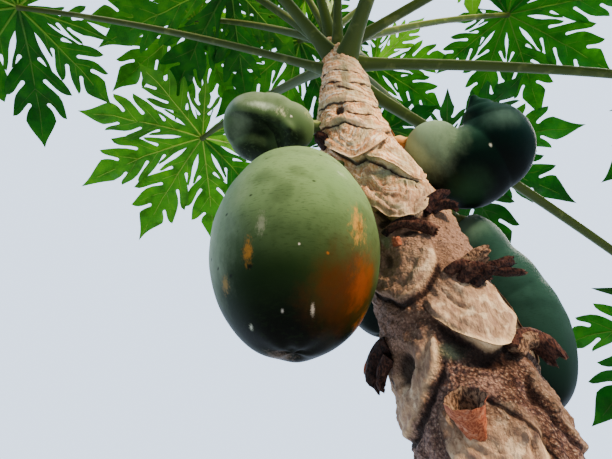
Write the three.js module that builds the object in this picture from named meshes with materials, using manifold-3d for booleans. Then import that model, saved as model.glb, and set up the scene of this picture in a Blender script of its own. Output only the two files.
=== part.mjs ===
// Papaya tree: one leaning trunk marked with leaf scars and dry stalk stumps, a spiral crown of
// long leaf stalks that each carry a lobed blade, and five fruits that hang below the crown.
// Millimetres, +Z up, origin at the middle of the trunk's flat cut at ground level.
import * as THREE from "three";
import Module from "manifold-3d";
import { mergeVertices } from "three/addons/utils/BufferGeometryUtils.js";

const wasm = await Module();
wasm.setup();

const TURN = 2 * Math.PI;
const DEGREE = Math.PI / 180;

// The least space between a piece and what carries it.
const CLEARANCE = 0.3;

// Trunk axis: it leaves the ground upright, leans, and sways once more towards the lean.
const TRUNK_HEIGHT = 2170;
const LEAN_X = -0.153;
const LEAN_Y = 0.024;
const UPRIGHT_HEIGHT = 350;
const SWAY = -19;
const SWAY_HEIGHT = 1890;
const SWAY_LENGTH = 110;

// Trunk radius: an even taper that runs out quickly in the crown, over a foot with root ribs.
const FOOT_RADIUS = 75;
const TAPER = 0.0125;
const POINT_HEIGHT = 2195;
const POINT_POWER = 11.75;
const ROOT_FLARE = 34;
const ROOT_FLARE_HEIGHT = 95;
const ROOT_RIBS = 5;
const ROOT_RIB_SHARE = 0.3;
const TRUNK_SIDES = 20;
const TRUNK_RINGS = 54;

// Leaf scars wind down the trunk, each a shield that stands out most along its lower edge.
const SPIRAL_STEP = 137.5 * DEGREE;
const CROWN_FOOT = 2030;
const SCAR_START = -113 * DEGREE;
const SCAR_STEP = 15.5;
const SCAR_HALF_WIDTH = 34;
const SCAR_HEIGHT = 70;
const SCAR_RELIEF = 4;
const SCAR_LIP = 0.1;
const SCAR_SHOULDER = 0.5;
const SCAR_NARROWING = 0.4;
const SCAR_FLAT_SHARE = 0.6;
const SCARS_FADE_FROM = 160;
const SCARS_FADE_TO = 40;

// Dry stumps of old flower stalks: the upper ones by their angle and height, the rest by a rule.
const UPPER_STUMPS = [
  { angle: -74 * DEGREE, z: 1731 },
  { angle: -55 * DEGREE, z: 1662 },
  { angle: -43 * DEGREE, z: 1608 },
  { angle: 180 * DEGREE, z: 1614 },
  { angle: -122 * DEGREE, z: 1552 },
];
const LOWER_STUMPS = 6;
const LOWER_STUMP_TOP = 1440;
const LOWER_STUMP_STEP = 130;
const STUMP_LENGTH = 24;
const STUMP_RADIUS = 9;
const STUMP_FALL = 25 * DEGREE;
const STUMP_SIDES = 6;
const STUMP_ROOT_SHARE = 0.7;
const STUMP_TAPER = 0.2;

// Crown: the leaves are numbered from the oldest and lowest to the youngest at the tip.
const LEAF_COUNT = 20;
const LEAF_STEP = 7;
const LEAF_START = 27 * DEGREE;
const OLD_RISE = 12 * DEGREE;
const YOUNG_RISE = 72 * DEGREE;
const YOUTH_POWER = 3;
const STALK_LENGTH = 560;
const YOUNG_STALK_SHARE = 0.84;
const STALK_ARCH = 0.035;
const STALK_BASE_RADIUS = 8.5;
const STALK_TIP_RADIUS = 6;
const YOUNG_THICKNESS_SHARE = 0.5;
const STALK_CLASP = 4;
const STALK_CLASP_LENGTH = 22;
const STALK_SIDES = 6;
const STALK_RINGS = 4;

// Leaves that set themselves apart from the spiral's rule: turn and rise in degrees, and how stout.
const OWN_LEAVES = {
  0: { turn: 0, rise: -18, length: 700 },
  1: { turn: 13, rise: 24.5, length: 635, stout: 0.7 },
  2: { turn: -10, rise: 22, length: 560, stout: 1.2 },
  3: { turn: 0, rise: 38, length: 540 },
  4: { turn: 0, rise: 33, length: 560 },
  5: { turn: 8, rise: -2, length: 600 },
  6: { turn: -2, rise: 30, length: 543 },
  7: { turn: 0, rise: 38, length: 560, stout: 0.7 },
  8: { turn: 3, rise: 21, length: 460 },
  9: { turn: -18, rise: 61, length: 440 },
  10: { turn: 14, rise: 12, length: 560 },
  11: { turn: 6, rise: 63, length: 495 },
  12: { turn: 8, rise: 57, length: 520 },
  13: { turn: 4, rise: 42, length: 650 },
  14: { turn: -1, rise: 51, length: 600 },
  16: { turn: -2, rise: 53, length: 650 },
  17: { turn: 2, rise: 67, length: 555 },
  18: { turn: 12, rise: 52, length: 560 },
  19: { turn: -15, rise: 72, length: 560 },
};

// Blade: lobes round the stalk's end, narrow at the foot and with pointed side lobes.
const BLADE_RADIUS = 310;
const YOUNG_BLADE_SHARE = 0.6;
const BLADE_THICKNESS = 6.4;
const BLADE_TILT = 13 * DEGREE;
const LEVEL_RISE = 20 * DEGREE;
const LOW_LEAF_TILT = 0.6;
const STEEP_RISE = 45 * DEGREE;
const STEEP_LEAF_TILT = 0.25;
const BLADE_DROOP = 0.2;
const LOBE_SPREAD = 38 * DEGREE;
const LOBE_REACH = [1, 0.96, 0.88, 0.74, 0.54];
const SINUS_REACH = 0.17;
const HEEL_REACH = 0.05;
const SIDE_LOBES = [
  { rib: 0.34, along: 0.34, wide: 0.065 },
  { rib: 0.5, along: 0.65, wide: 0.24 },
  { rib: 0.55, along: 0.58, wide: 0.075 },
  { rib: 0.7, along: 0.79, wide: 0.165 },
];

// The furled leaves at the growing tip.
const HEART_LEAVES = 3;
const HEART_LENGTH = 150;
const HEART_RADIUS = 6;
const HEART_SPREAD = 7 * DEGREE;
const HEART_SUNK = 20;
const HEART_TAPER = 0.75;
const HEART_SWELL = 0.5;
const HEART_SIDES = 6;
const HEART_RINGS = 3;

// Fruits: each is drawn out from its centre to the furthest of its rounded bodies.
const FRUIT_SIDES = 16;
const FRUIT_RINGS = 10;
const POINTED_FRUIT_SIDES = 20;
const POINTED_FRUIT_RINGS = 14;
const FRUIT_BLEND = 6;
const FRUIT_FILL = 0.6;
const FRUIT_STALK_RADIUS = 8;
const FRUIT_STALK_RINGS = 4;
const FRUITS = [
  {
    centre: [-321.5, -14, 1689],
    bodies: [{ at: [0, 0, -8], half: [68, 68, 91] }, { at: [0, 0, 15], half: [60, 60, 81] }],
    stalk: { from: 1822, over: [-290, 8, 1828], to: [-318, -8, 1760] },
  },
  {
    centre: [-354, 12, 1881],
    bodies: [
      { at: [-19, -3, 3], half: [32, 32, 32] },
      { at: [2, -5, 5], half: [27, 27, 27] },
      { at: [23, 1, -2], half: [27, 27, 27] },
      { at: [-14, 7, -9], half: [28, 28, 28] },
    ],
    stalk: { from: 1895, over: [-296, 28, 1902], to: [-320, 18, 1890] },
  },
  {
    centre: [-124, 33, 1852],
    pointed: true,
    bodies: [
      { at: [-42, -6, 8], half: [31, 31, 31] },
      { at: [-24, 10, -12], half: [35, 35, 35] },
      { at: [-1, 8, -10], half: [45, 45, 45] },
      { at: [28, -8, 9], half: [41, 45, 48] },
      { at: [14, -26, 31], half: [21, 21, 21] },
      { at: [8, -34, 41], half: [10, 10, 10] },
      { at: [3, -40, 48], half: [4, 4, 4] },
    ],
    stalk: { from: 1868, over: [-196, 32, 1886], to: [-168, 33, 1872] },
  },
  {
    centre: [-102, 103, 1694],
    bodies: [
      { at: [8, 0, -28], half: [42, 43, 77] },
      { at: [0, 0, 16], half: [39, 41, 60] },
      { at: [-12, 0, 55], half: [33, 37, 70] },
    ],
    stalk: { from: 1812, over: [-160, 104, 1836], to: [-118, 98, 1806] },
  },
  {
    centre: [-224, 146, 1778],
    bodies: [{ at: [0, 0, -8], half: [50, 50, 82] }, { at: [0, 0, 14], half: [46, 46, 78] }],
    stalk: { from: 1890, over: [-236, 120, 1916], to: [-226, 140, 1856] },
  },
];

const BARK = { color: 0x9a826c, roughness: 0.85, metalness: 0 };
const STALK_GREEN = { color: 0x7f9455, roughness: 0.5, metalness: 0 };
const LEAF_GREEN = { color: 0x3f7d22, roughness: 0.55, metalness: 0 };
const YOUNG_GREEN = { color: 0x8fae4a, roughness: 0.55, metalness: 0 };
const FRUIT_GREEN = { color: 0x476a38, roughness: 0.45, metalness: 0 };

function mix(a, b, t) {
  return a + (b - a) * t;
}

function smooth(from, to, x) {
  const t = Math.min(1, Math.max(0, (x - from) / (to - from)));
  return t * t * (3 - 2 * t);
}

function heading(azimuth, rise = 0) {
  const level = Math.cos(rise);
  return new THREE.Vector3(level * Math.cos(azimuth), level * Math.sin(azimuth), Math.sin(rise));
}

// A closed mesh as a solid that can be joined and cut.
function solidOf(geometry) {
  const bare = geometry.clone();
  bare.deleteAttribute("normal");
  bare.deleteAttribute("uv");
  const merged = mergeVertices(bare, 1e-3);
  return new wasm.Manifold(
    new wasm.Mesh({
      numProp: 3,
      vertProperties: merged.attributes.position.array,
      triVerts: new Uint32Array(merged.index.array),
    }),
  );
}

function meshOf(name, solid, finish) {
  const { vertProperties, triVerts } = solid.getMesh();
  const geometry = new THREE.BufferGeometry();
  geometry.setAttribute("position", new THREE.BufferAttribute(vertProperties, 3));
  geometry.setIndex(new THREE.BufferAttribute(triVerts, 1));
  geometry.computeVertexNormals();
  const mesh = new THREE.Mesh(geometry, new THREE.MeshStandardMaterial(finish));
  mesh.name = name;
  return mesh;
}

// Moves every vertex of a geometry to where a rule puts it.
function reshape(geometry, rule) {
  const position = geometry.attributes.position;
  const point = new THREE.Vector3();
  for (let i = 0; i < position.count; i++) {
    const moved = rule(point.fromBufferAttribute(position, i));
    position.setXYZ(i, moved.x, moved.y, moved.z);
  }
  return geometry;
}

// A rod of rings: the rule gets how far along (0 to 1), the angle and the share of the radius.
function rodSolid(sides, rings, rule) {
  const rod = new THREE.CylinderGeometry(1, 1, 1, sides, rings).rotateX(Math.PI / 2);
  return solidOf(reshape(rod, (p) => rule(p.z + 0.5, Math.atan2(p.y, p.x), Math.hypot(p.x, p.y))));
}

// A rod along a curve, with a radius that changes along it.
function limbSolid(curve, sides, rings, radiusAt) {
  const { normals, binormals } = curve.computeFrenetFrames(rings, false);
  return rodSolid(sides, rings, (t, angle, share) => {
    const radius = radiusAt(t) * share;
    const ring = Math.round(t * rings);
    return curve
      .getPointAt(t)
      .addScaledVector(normals[ring], radius * Math.cos(angle))
      .addScaledVector(binormals[ring], radius * Math.sin(angle));
  });
}

function axisAt(z) {
  const run = z - UPRIGHT_HEIGHT * (1 - Math.exp(-z / UPRIGHT_HEIGHT));
  const sway = SWAY * Math.exp(-(((z - SWAY_HEIGHT) / SWAY_LENGTH) ** 2));
  return new THREE.Vector3(LEAN_X * run + sway, LEAN_Y * run, z);
}

function plainRadius(z) {
  return (FOOT_RADIUS - TAPER * z) * (1 - (z / POINT_HEIGHT) ** POINT_POWER);
}

// How far one scar lifts the bark at a place beside and above its lower edge.
function scarLift(across, above) {
  const up = above / SCAR_HEIGHT;
  if (up < -SCAR_LIP || up > 1) return 0;
  const rounding = Math.sqrt(Math.min(1, (up + SCAR_LIP) / SCAR_SHOULDER));
  const halfWidth = SCAR_HALF_WIDTH * rounding * (1 - SCAR_NARROWING * up);
  const inside = 1 - smooth(SCAR_FLAT_SHARE, 1, Math.abs(across) / Math.max(1, halfWidth));
  return SCAR_RELIEF * inside * (1 - up) * smooth(-SCAR_LIP, SCAR_LIP, up);
}

function scarPlace(j) {
  return { angle: SCAR_START + SPIRAL_STEP * j, z: CROWN_FOOT - SCAR_STEP * (j + 1) };
}

function trunkRadius(angle, z) {
  const plain = plainRadius(z);
  const ribs = 1 + ROOT_RIB_SHARE * Math.cos(ROOT_RIBS * angle);
  const flare = ROOT_FLARE * Math.exp(-z / ROOT_FLARE_HEIGHT) * ribs;
  const first = Math.max(0, Math.floor((CROWN_FOOT - z) / SCAR_STEP) - 1);
  const last = Math.ceil((CROWN_FOOT - z + SCAR_HEIGHT) / SCAR_STEP);
  let lift = 0;
  for (let j = first; j <= last; j++) {
    const scar = scarPlace(j);
    const turned = (angle - scar.angle) / TURN;
    const across = (turned - Math.round(turned)) * TURN * plain;
    lift = Math.max(lift, scarLift(across, z - scar.z));
  }
  return plain + flare + lift * smooth(SCARS_FADE_TO, SCARS_FADE_FROM, z);
}

// The trunk, or the trunk grown by a margin so that what it carries can be cut clear of it.
function trunkSolid(margin) {
  const surface = rodSolid(TRUNK_SIDES, TRUNK_RINGS, (t, angle, share) => {
    const z = TRUNK_HEIGHT * t;
    const radius = (trunkRadius(angle, z) + margin) * share;
    return axisAt(z).addScaledVector(heading(angle), radius);
  });
  return stumpPlaces().reduce((whole, place) => whole.add(stumpSolid(place, margin)), surface);
}

function stumpPlaces() {
  const lower = Array.from({ length: LOWER_STUMPS }, (_, i) => ({
    angle: SPIRAL_STEP * i,
    z: LOWER_STUMP_TOP - LOWER_STUMP_STEP * i,
  }));
  return [...UPPER_STUMPS, ...lower];
}

function stumpSolid({ angle, z }, margin) {
  const bark = plainRadius(z);
  const root = axisAt(z).addScaledVector(heading(angle), bark * STUMP_ROOT_SHARE);
  const length = bark * (1 - STUMP_ROOT_SHARE) + STUMP_LENGTH + margin;
  const end = root.clone().addScaledVector(heading(angle, -STUMP_FALL), length);
  const curve = new THREE.LineCurve3(root, end);
  const radiusAt = (t) => STUMP_RADIUS * mix(1 + STUMP_TAPER, 1 - STUMP_TAPER, t) + margin;
  return limbSolid(curve, STUMP_SIDES, 1, radiusAt);
}

// Where one leaf sits, how it rises and how large it is, from its place in the spiral.
function leafOf(i) {
  const place = i / (LEAF_COUNT - 1);
  const youth = place ** YOUTH_POWER;
  const ruled = { turn: 0, rise: mix(OLD_RISE, YOUNG_RISE, place) / DEGREE, length: STALK_LENGTH };
  const { turn, rise, length, stout = 1 } = OWN_LEAVES[i] ?? ruled;
  return {
    azimuth: LEAF_START + SPIRAL_STEP * i + turn * DEGREE,
    rise: rise * DEGREE,
    length: length * mix(1, YOUNG_STALK_SHARE, youth),
    bladeRadius: BLADE_RADIUS * mix(1, YOUNG_BLADE_SHARE, youth),
    thickness: stout * mix(1, YOUNG_THICKNESS_SHARE, youth),
    foot: CROWN_FOOT + LEAF_STEP * i,
  };
}

function stalkCurve({ azimuth, rise, length, foot }) {
  const start = axisAt(foot);
  const end = start.clone().addScaledVector(heading(azimuth, rise), length);
  const middle = start.clone().lerp(end, 0.5);
  middle.z += 2 * STALK_ARCH * length;
  return new THREE.QuadraticBezierCurve3(start, middle, end);
}

function stalkSolid(leaf, margin) {
  const radiusAt = (t) => {
    const free = Math.max(0, t * leaf.length - plainRadius(leaf.foot));
    const clasp = STALK_CLASP * Math.exp(-free / STALK_CLASP_LENGTH);
    return (mix(STALK_BASE_RADIUS, STALK_TIP_RADIUS, t) + clasp) * leaf.thickness + margin;
  };
  return limbSolid(stalkCurve(leaf), STALK_SIDES, STALK_RINGS, radiusAt);
}

function cutBy(solid, obstacles) {
  return obstacles.reduce((left, obstacle) => left.subtract(obstacle), solid);
}

// The blade's own axes: outwards along its middle lobe, sideways, and up out of its face.
function bladeAxes({ azimuth, rise }) {
  const low = LOW_LEAF_TILT * Math.max(0, LEVEL_RISE - rise);
  const steep = STEEP_LEAF_TILT * Math.max(0, rise - STEEP_RISE);
  const tilt = BLADE_TILT + low + steep;
  const out = heading(azimuth, -tilt);
  const side = heading(azimuth + TURN / 4);
  return { out, side, normal: out.clone().cross(side) };
}

// One lobe on a disc of radius 1: the rib's points and the two edges' points, foot to tip.
function lobePlan(k) {
  const rear = Math.abs(k) === LOBE_REACH.length - 1;
  const reach = LOBE_REACH[Math.abs(k)];
  const across = k * LOBE_SPREAD;
  const at = (along, wide) => [
    reach * (along * Math.cos(across) - wide * Math.sin(across)),
    reach * (along * Math.sin(across) + wide * Math.cos(across)),
  ];
  const sinus = (side) => {
    const angle = across + (side * LOBE_SPREAD) / 2;
    return [SINUS_REACH * Math.cos(angle), SINUS_REACH * Math.sin(angle)];
  };
  const steps = rear ? SIDE_LOBES.slice(0, 2) : SIDE_LOBES;
  const edge = (side) => [sinus(side), ...steps.map((s) => at(s.along, side * s.wide)), at(1, 0)];
  return { rib: [[0, 0], ...steps.map((s) => at(s.rib, 0)), at(1, 0)], left: edge(1), right: edge(-1) };
}

// The blade's flat triangles, counter-clockwise: each lobe's two sides, and the heel behind.
function bladeTriangles() {
  const triangles = [];
  const last = LOBE_REACH.length - 1;
  const heel = [-HEEL_REACH, 0];
  for (let k = -last; k <= last; k++) {
    const { rib, left, right } = lobePlan(k);
    for (let i = 0; i < rib.length - 1; i++) {
      triangles.push([rib[i], left[i + 1], left[i]], [rib[i], right[i], right[i + 1]]);
      if (i === rib.length - 2) continue;
      triangles.push([rib[i], rib[i + 1], left[i + 1]], [rib[i], right[i + 1], rib[i + 1]]);
    }
    if (k === last) triangles.push([[0, 0], left[0], heel]);
    if (k === -last) triangles.push([[0, 0], heel, right[0]]);
  }
  return triangles;
}

const BLADE_TRIANGLES = bladeTriangles();

// The edges that only one triangle uses, in the direction in which it uses them.
function rimOf(triangles) {
  const key = ([x, y]) => `${x.toFixed(5)} ${y.toFixed(5)}`;
  const edges = new Map();
  for (const triangle of triangles) {
    triangle.forEach((from, i) => {
      const to = triangle[(i + 1) % 3];
      const back = `${key(to)} ${key(from)}`;
      if (!edges.delete(back)) edges.set(`${key(from)} ${key(to)}`, [from, to]);
    });
  }
  return [...edges.values()];
}

const BLADE_RIM = rimOf(BLADE_TRIANGLES);

// A blade as two drooping skins joined round the rim, thicker by a margin on both faces.
function bladeSolid(leaf, margin) {
  const { out, side, normal } = bladeAxes(leaf);
  const half = BLADE_THICKNESS / 2;
  const hub = stalkCurve(leaf).getPoint(1).addScaledVector(normal, half + CLEARANCE);
  const place = ([x, y], level) =>
    hub
      .clone()
      .addScaledVector(out, x * leaf.bladeRadius)
      .addScaledVector(side, y * leaf.bladeRadius)
      .addScaledVector(normal, level * (half + margin) - BLADE_DROOP * (x * x + y * y) * leaf.bladeRadius);
  const upper = BLADE_TRIANGLES.flatMap((corners) => corners.map((c) => place(c, 1)));
  const lower = BLADE_TRIANGLES.flatMap(([a, b, c]) => [place(a, -1), place(c, -1), place(b, -1)]);
  const walls = BLADE_RIM.flatMap(([a, b]) => {
    const [a0, b0, a1, b1] = [place(a, -1), place(b, -1), place(a, 1), place(b, 1)];
    return [a0, b0, b1, a0, b1, a1];
  });
  return solidOf(new THREE.BufferGeometry().setFromPoints([...upper, ...lower, ...walls]));
}

function heartSolid() {
  const base = axisAt(TRUNK_HEIGHT - HEART_SUNK);
  let heart = null;
  for (let i = 0; i < HEART_LEAVES; i++) {
    const azimuth = LEAF_START + SPIRAL_STEP * (LEAF_COUNT + i);
    const lean = HEART_SPREAD * (1 - i / HEART_LEAVES);
    const end = base.clone().addScaledVector(heading(azimuth, TURN / 4 - lean), HEART_LENGTH);
    const furled = (t) => HEART_RADIUS * (1 - HEART_TAPER * t) * (1 + HEART_SWELL * Math.sin(Math.PI * t));
    const shoot = limbSolid(new THREE.LineCurve3(base, end), HEART_SIDES, HEART_RINGS, furled);
    heart = heart ? heart.add(shoot) : shoot;
  }
  return heart;
}

// How far a ray from the fruit's centre runs before it leaves one rounded body.
function bodyReach(direction, { at, half }) {
  const scale = new THREE.Vector3(...half);
  const d = direction.clone().divide(scale);
  const o = new THREE.Vector3(...at).negate().divide(scale);
  const b = o.dot(d);
  const inside = b * b - d.lengthSq() * (o.lengthSq() - 1);
  return inside <= 0 ? 0 : (-b + Math.sqrt(inside)) / d.lengthSq();
}

// The furthest of the reaches, with the hollow between two bodies rounded off.
function blendedReach(direction, bodies) {
  const reaches = bodies.map((body) => bodyReach(direction, body));
  const furthest = Math.max(...reaches);
  const sum = reaches.reduce((total, r) => total + Math.exp((r - furthest) / FRUIT_BLEND), 0);
  return furthest + FRUIT_FILL * FRUIT_BLEND * Math.log(sum);
}

function fruitSolid({ centre, bodies, pointed }, margin) {
  const middle = new THREE.Vector3(...centre);
  const sides = pointed ? POINTED_FRUIT_SIDES : FRUIT_SIDES;
  const rings = pointed ? POINTED_FRUIT_RINGS : FRUIT_RINGS;
  const ball = new THREE.SphereGeometry(1, sides, rings).rotateX(Math.PI / 2);
  const outer = (p) => {
    const direction = p.clone().normalize();
    return middle.clone().addScaledVector(direction, blendedReach(direction, bodies) + margin);
  };
  return solidOf(reshape(ball, outer));
}

function fruitStalkSolid(fruit) {
  const { from, over, to } = fruit.stalk;
  const ends = [axisAt(from), new THREE.Vector3(...over), new THREE.Vector3(...to)];
  const curve = new THREE.QuadraticBezierCurve3(...ends);
  return limbSolid(curve, STALK_SIDES, FRUIT_STALK_RINGS, () => FRUIT_STALK_RADIUS);
}

// Each piece is cut clear of what carries it, and a younger stalk clear of the older ones too.
const grownTrunk = trunkSolid(CLEARANCE);
const placed = [grownTrunk];
const tree = new THREE.Group();
tree.add(meshOf("trunk", trunkSolid(0), BARK));
for (let i = 0; i < LEAF_COUNT; i++) {
  const leaf = leafOf(i);
  const number = String(i + 1).padStart(2, "0");
  const stalk = cutBy(stalkSolid(leaf, 0), [...placed, bladeSolid(leaf, CLEARANCE)]);
  tree.add(meshOf(`leaf_stalk_${number}`, stalk, STALK_GREEN));
  tree.add(meshOf(`leaf_blade_${number}`, bladeSolid(leaf, 0), LEAF_GREEN));
  placed.push(stalkSolid(leaf, CLEARANCE));
}
tree.add(meshOf("growing_tip", cutBy(heartSolid(), placed), YOUNG_GREEN));
FRUITS.forEach((fruit, i) => {
  const stalk = cutBy(fruitStalkSolid(fruit), [grownTrunk, fruitSolid(fruit, CLEARANCE)]);
  tree.add(meshOf(`fruit_stalk_${i + 1}`, stalk, STALK_GREEN));
  tree.add(meshOf(`fruit_${i + 1}`, fruitSolid(fruit, 0), FRUIT_GREEN));
});

export default tree;
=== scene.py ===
"""Papaya tree: the looks of its trunk, leaf stalks, leaf blades, growing tip and fruits.

Sizes are in millimetres, in the frame of the part: +Z up, from the middle of the trunk's flat cut at
ground level. Each finished piece is brought to metres in one place, add_piece.
"""

import math
import random
from types import SimpleNamespace

import bmesh
import bpy
from bpy.props import FloatProperty, FloatVectorProperty, PointerProperty
from bpy.types import Operator, Panel, PropertyGroup
from mathutils import Matrix, Vector, noise
from mathutils.geometry import interpolate_bezier


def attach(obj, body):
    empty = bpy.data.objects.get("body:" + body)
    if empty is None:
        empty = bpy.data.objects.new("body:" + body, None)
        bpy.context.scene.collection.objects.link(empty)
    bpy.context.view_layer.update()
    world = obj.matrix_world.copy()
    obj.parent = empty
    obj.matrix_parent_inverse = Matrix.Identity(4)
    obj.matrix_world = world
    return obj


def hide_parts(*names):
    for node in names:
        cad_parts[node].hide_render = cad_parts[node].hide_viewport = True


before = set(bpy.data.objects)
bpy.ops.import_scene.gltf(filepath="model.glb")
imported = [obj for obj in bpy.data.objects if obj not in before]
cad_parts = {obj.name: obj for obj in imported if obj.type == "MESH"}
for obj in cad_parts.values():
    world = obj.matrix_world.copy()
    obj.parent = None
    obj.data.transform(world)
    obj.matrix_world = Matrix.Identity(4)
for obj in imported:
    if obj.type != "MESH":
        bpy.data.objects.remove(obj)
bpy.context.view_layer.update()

bl_info = {
    "name": "Papaya Tree",
    "version": (1, 0, 0),
    "blender": (4, 5, 0),
    "location": "View3D > Sidebar > Papaya Tree",
    "description": "Builds the finished surfaces of a fruiting papaya tree",
    "category": "Add Mesh",
}

MM = 0.001
TURN = 2 * math.pi
SEED = 7
SHARP_EDGE = math.radians(75)

# Trunk axis and radius, by the rules of the part's source.
TRUNK_HEIGHT = 2170
LEAN_X = -0.153
LEAN_Y = 0.024
UPRIGHT_HEIGHT = 350
SWAY = -19
SWAY_HEIGHT = 1890
SWAY_LENGTH = 110
FOOT_RADIUS = 75
TAPER = 0.0125
POINT_HEIGHT = 2195
POINT_POWER = 11.75
ROOT_FLARE = 34
ROOT_FLARE_HEIGHT = 95
ROOT_RIBS = 5
ROOT_RIB_SHARE = 0.3

# The trunk is meshed as two rods, with closer rings in the upper one, which is seen from near by.
TRUNK_SIDES = 200
TRUNK_SEAM = 1440
LOWER_RINGS = 230
UPPER_RINGS = 470

# Leaf scars: a spiral of shields that slope out to a thin lifted rim, with a groove under it.
SPIRAL_STEP = math.radians(137.5)
CROWN_FOOT = 2030
SCAR_START = math.radians(-113)
SCAR_STEP = 15.5
SCAR_COUNT = 122
SCAR_RIM_POWER = 2.6
SCAR_LEAN = 0.18
SCAR_WANDER = 3
RIM_RAMP = 3.5
# Painted light and shade: the scar shields and their lips are painted paler on the side that faces the
# lamps and darker away from it, down to this share of their paleness.
PAINTED_LIGHT_SIDE = math.radians(-50)
PAINTED_SHADE_PALENESS = 0.38
RIM_STEPS = 32
GRAIN_REACH = 26
NOISE_STEP = 9.7
ROOT_FADE = (30, 160)

# Sizes of the spiral's scars: low on the trunk, along most of it, and close under the crown. The first
# and the last take over between two heights each.
OLD_HEIGHTS = (900, 200)
YOUNG_HEIGHTS = (1700, 1820)
SCAR_HALF_WIDTH = (42, 36, 60)
SCAR_HEIGHT = (52, 68, 40)
SCAR_RISE = (0.9, 0.9, 0.5)
SCAR_RELIEF = (3, 6, 2.5)
SCAR_DITCH = (4, 10, 4)

# The shields that stand out in the picture. Rim: angle in degrees and height, from its left end over its
# lowest point to its right end. Top: the height at which it dies out, at the left and at the right.
# Relief: how far the rim stands out. Fold and lift: how wide its thin edge is, and how far that curls
# out. Ditch: how wide the groove under it is. Crumple: how creased it is. Pale: how much of the pale
# shield colour shows, partly its own bleached tone and partly painted shade, lower on scars in shadow.
PLAIN_SCAR = {"fold": 0, "lift": 0, "ditch": 6, "crumple": 1.3, "pale": 1}
SHOWN_SCARS = [
    dict(
        rim=[(-175, 2022), (-130, 2008), (-98, 1996), (-60, 1990), (-20, 2000)],
        top=(2050, 2040), relief=2,
    ),
    dict(
        rim=[(-180, 1990), (-138, 1976), (-97, 1959), (-66, 1962), (-25, 1978)],
        top=(2010, 2000), relief=2,
    ),
    dict(
        rim=[(-122, 1962), (-100, 1946), (-82, 1938), (-61, 1931), (-38, 1932), (-5, 1948)],
        top=(1970, 1966), relief=2,
    ),
    dict(
        rim=[(-178, 1936), (-128, 1923), (-100, 1914), (-79, 1912), (-60, 1914), (-25, 1930)],
        top=(1956, 1946), relief=2.5,
    ),
    dict(
        rim=[(-112, 1897), (-91, 1882), (-69, 1884), (-40, 1880), (-8, 1900)],
        top=(1915, 1916), relief=3,
    ),
    dict(
        rim=[
            (-168, 1894), (-136, 1878), (-112, 1872), (-102, 1863), (-92, 1852), (-68, 1855),
            (-32, 1872),
        ],
        top=(1905, 1895), relief=3.5,
    ),
    dict(
        rim=[
            (-160, 1862), (-150, 1848), (-136, 1824), (-125, 1808), (-109, 1808), (-86, 1824),
            (-67, 1840),
        ],
        top=(1888, 1868), relief=7, fold=4, lift=2.5, crumple=1.2,
    ),
    dict(
        rim=[
            (-118, 1808), (-108, 1800), (-97, 1791), (-87, 1776), (-78, 1768), (-68, 1769), (-57, 1785),
        ],
        top=(1832, 1842), relief=8, fold=4, lift=2.5, crumple=1.2,
    ),
    dict(
        rim=[
            (-138, 1770), (-133, 1744), (-127, 1735), (-120, 1723), (-113, 1716), (-102, 1715),
            (-91, 1719), (-82, 1733), (-74, 1742), (-68, 1766),
        ],
        top=(1782, 1776), relief=8, fold=2.5, lift=2.5, ditch=12, crumple=3.2,
    ),
    dict(
        rim=[
            (-176, 1684), (-161, 1659), (-150, 1648), (-140, 1641), (-132, 1640), (-122, 1643),
            (-113, 1649), (-104, 1658), (-95, 1672), (-90, 1690),
        ],
        top=(1702, 1694), relief=5, ditch=8, crumple=2.2, pale=0.75,
    ),
    dict(
        rim=[
            (-121, 1632), (-118, 1621), (-111, 1611), (-103, 1602), (-95, 1595), (-87, 1591),
            (-78, 1592), (-70, 1598), (-61, 1610), (-52, 1624), (-46, 1646),
        ],
        top=(1640, 1688), relief=9, fold=2, lift=1.5, ditch=22, crumple=2.2,
    ),
    dict(
        rim=[
            (-232, 1604), (-214, 1570), (-196, 1552), (-180, 1547), (-167, 1549), (-151, 1557),
            (-137, 1571), (-126, 1584), (-118, 1602),
        ],
        top=(1628, 1612), relief=5.5, ditch=8, crumple=2.2, pale=1.8,
    ),
    dict(
        rim=[
            (-143, 1540), (-137, 1520), (-124, 1503), (-108, 1494), (-93, 1499), (-82, 1514),
            (-75, 1538),
        ],
        top=(1562, 1550), relief=5, ditch=8, crumple=3.6, pale=1.5,
    ),
    dict(
        rim=[(-112, 1565), (-100, 1557), (-88, 1548), (-78, 1534), (-69, 1513), (-63, 1494)],
        top=(1582, 1562), relief=3, ditch=5, pale=0.15,
    ),
    dict(
        rim=[(-66, 1592), (-61, 1568), (-52, 1549), (-40, 1537), (-25, 1533), (-9, 1546), (2, 1576)],
        top=(1600, 1612), relief=5.5, ditch=9, crumple=1.6, pale=0.35,
    ),
]

# Where those shields take the place of the spiral's own scars.
SHOWN_SECTOR = (math.radians(-200), math.radians(-5))
SHOWN_HEIGHTS = (1484, 2060)

# Hollows and stains: angle in degrees, height, half width, half height, depth. Each fades out at so many
# times its half sizes. Where a hollow is deep it is also painted nearly black as shade.
BLOT_REACH = 1.5
HOLLOWS = [
    (-117, 1902, 9, 12, 7), (-158, 1866, 9, 9, 4), (-114, 1838, 6, 5, 2), (-124, 1762, 5, 9, 4),
    (-133, 1746, 4, 9, 4), (-130, 1722, 9, 7, 7), (-108, 1703, 15, 4, 5), (-141, 1682, 10, 15, 4.5),
    (-104, 1626, 13, 24, 3.4), (-162, 1592, 14, 15, 11), (-92, 1582, 17, 6, 4), (-112, 1573, 12, 6, 3),
    (-62, 1560, 9, 12, 5), (-48, 1546, 13, 5, 4),
]
STAINS = [
    (-96, 1968, 6, 44, 0), (-116, 1800, 15, 6, 0), (-84, 1762, 14, 5, 0), (-124, 1872, 11, 11, 0),
    (-104, 1778, 13, 8, 0), (-134, 1700, 5, 8, 0), (-112, 1592, 10, 7, 0),
]

# The thin lifted edges of the scars: steps along and across, how deep they root above the rim, thickness.
FOLD_STEPS = 40
FOLD_RINGS = 5
FOLD_ROOT = 7
FOLD_THICKNESS = 0.9

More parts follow.
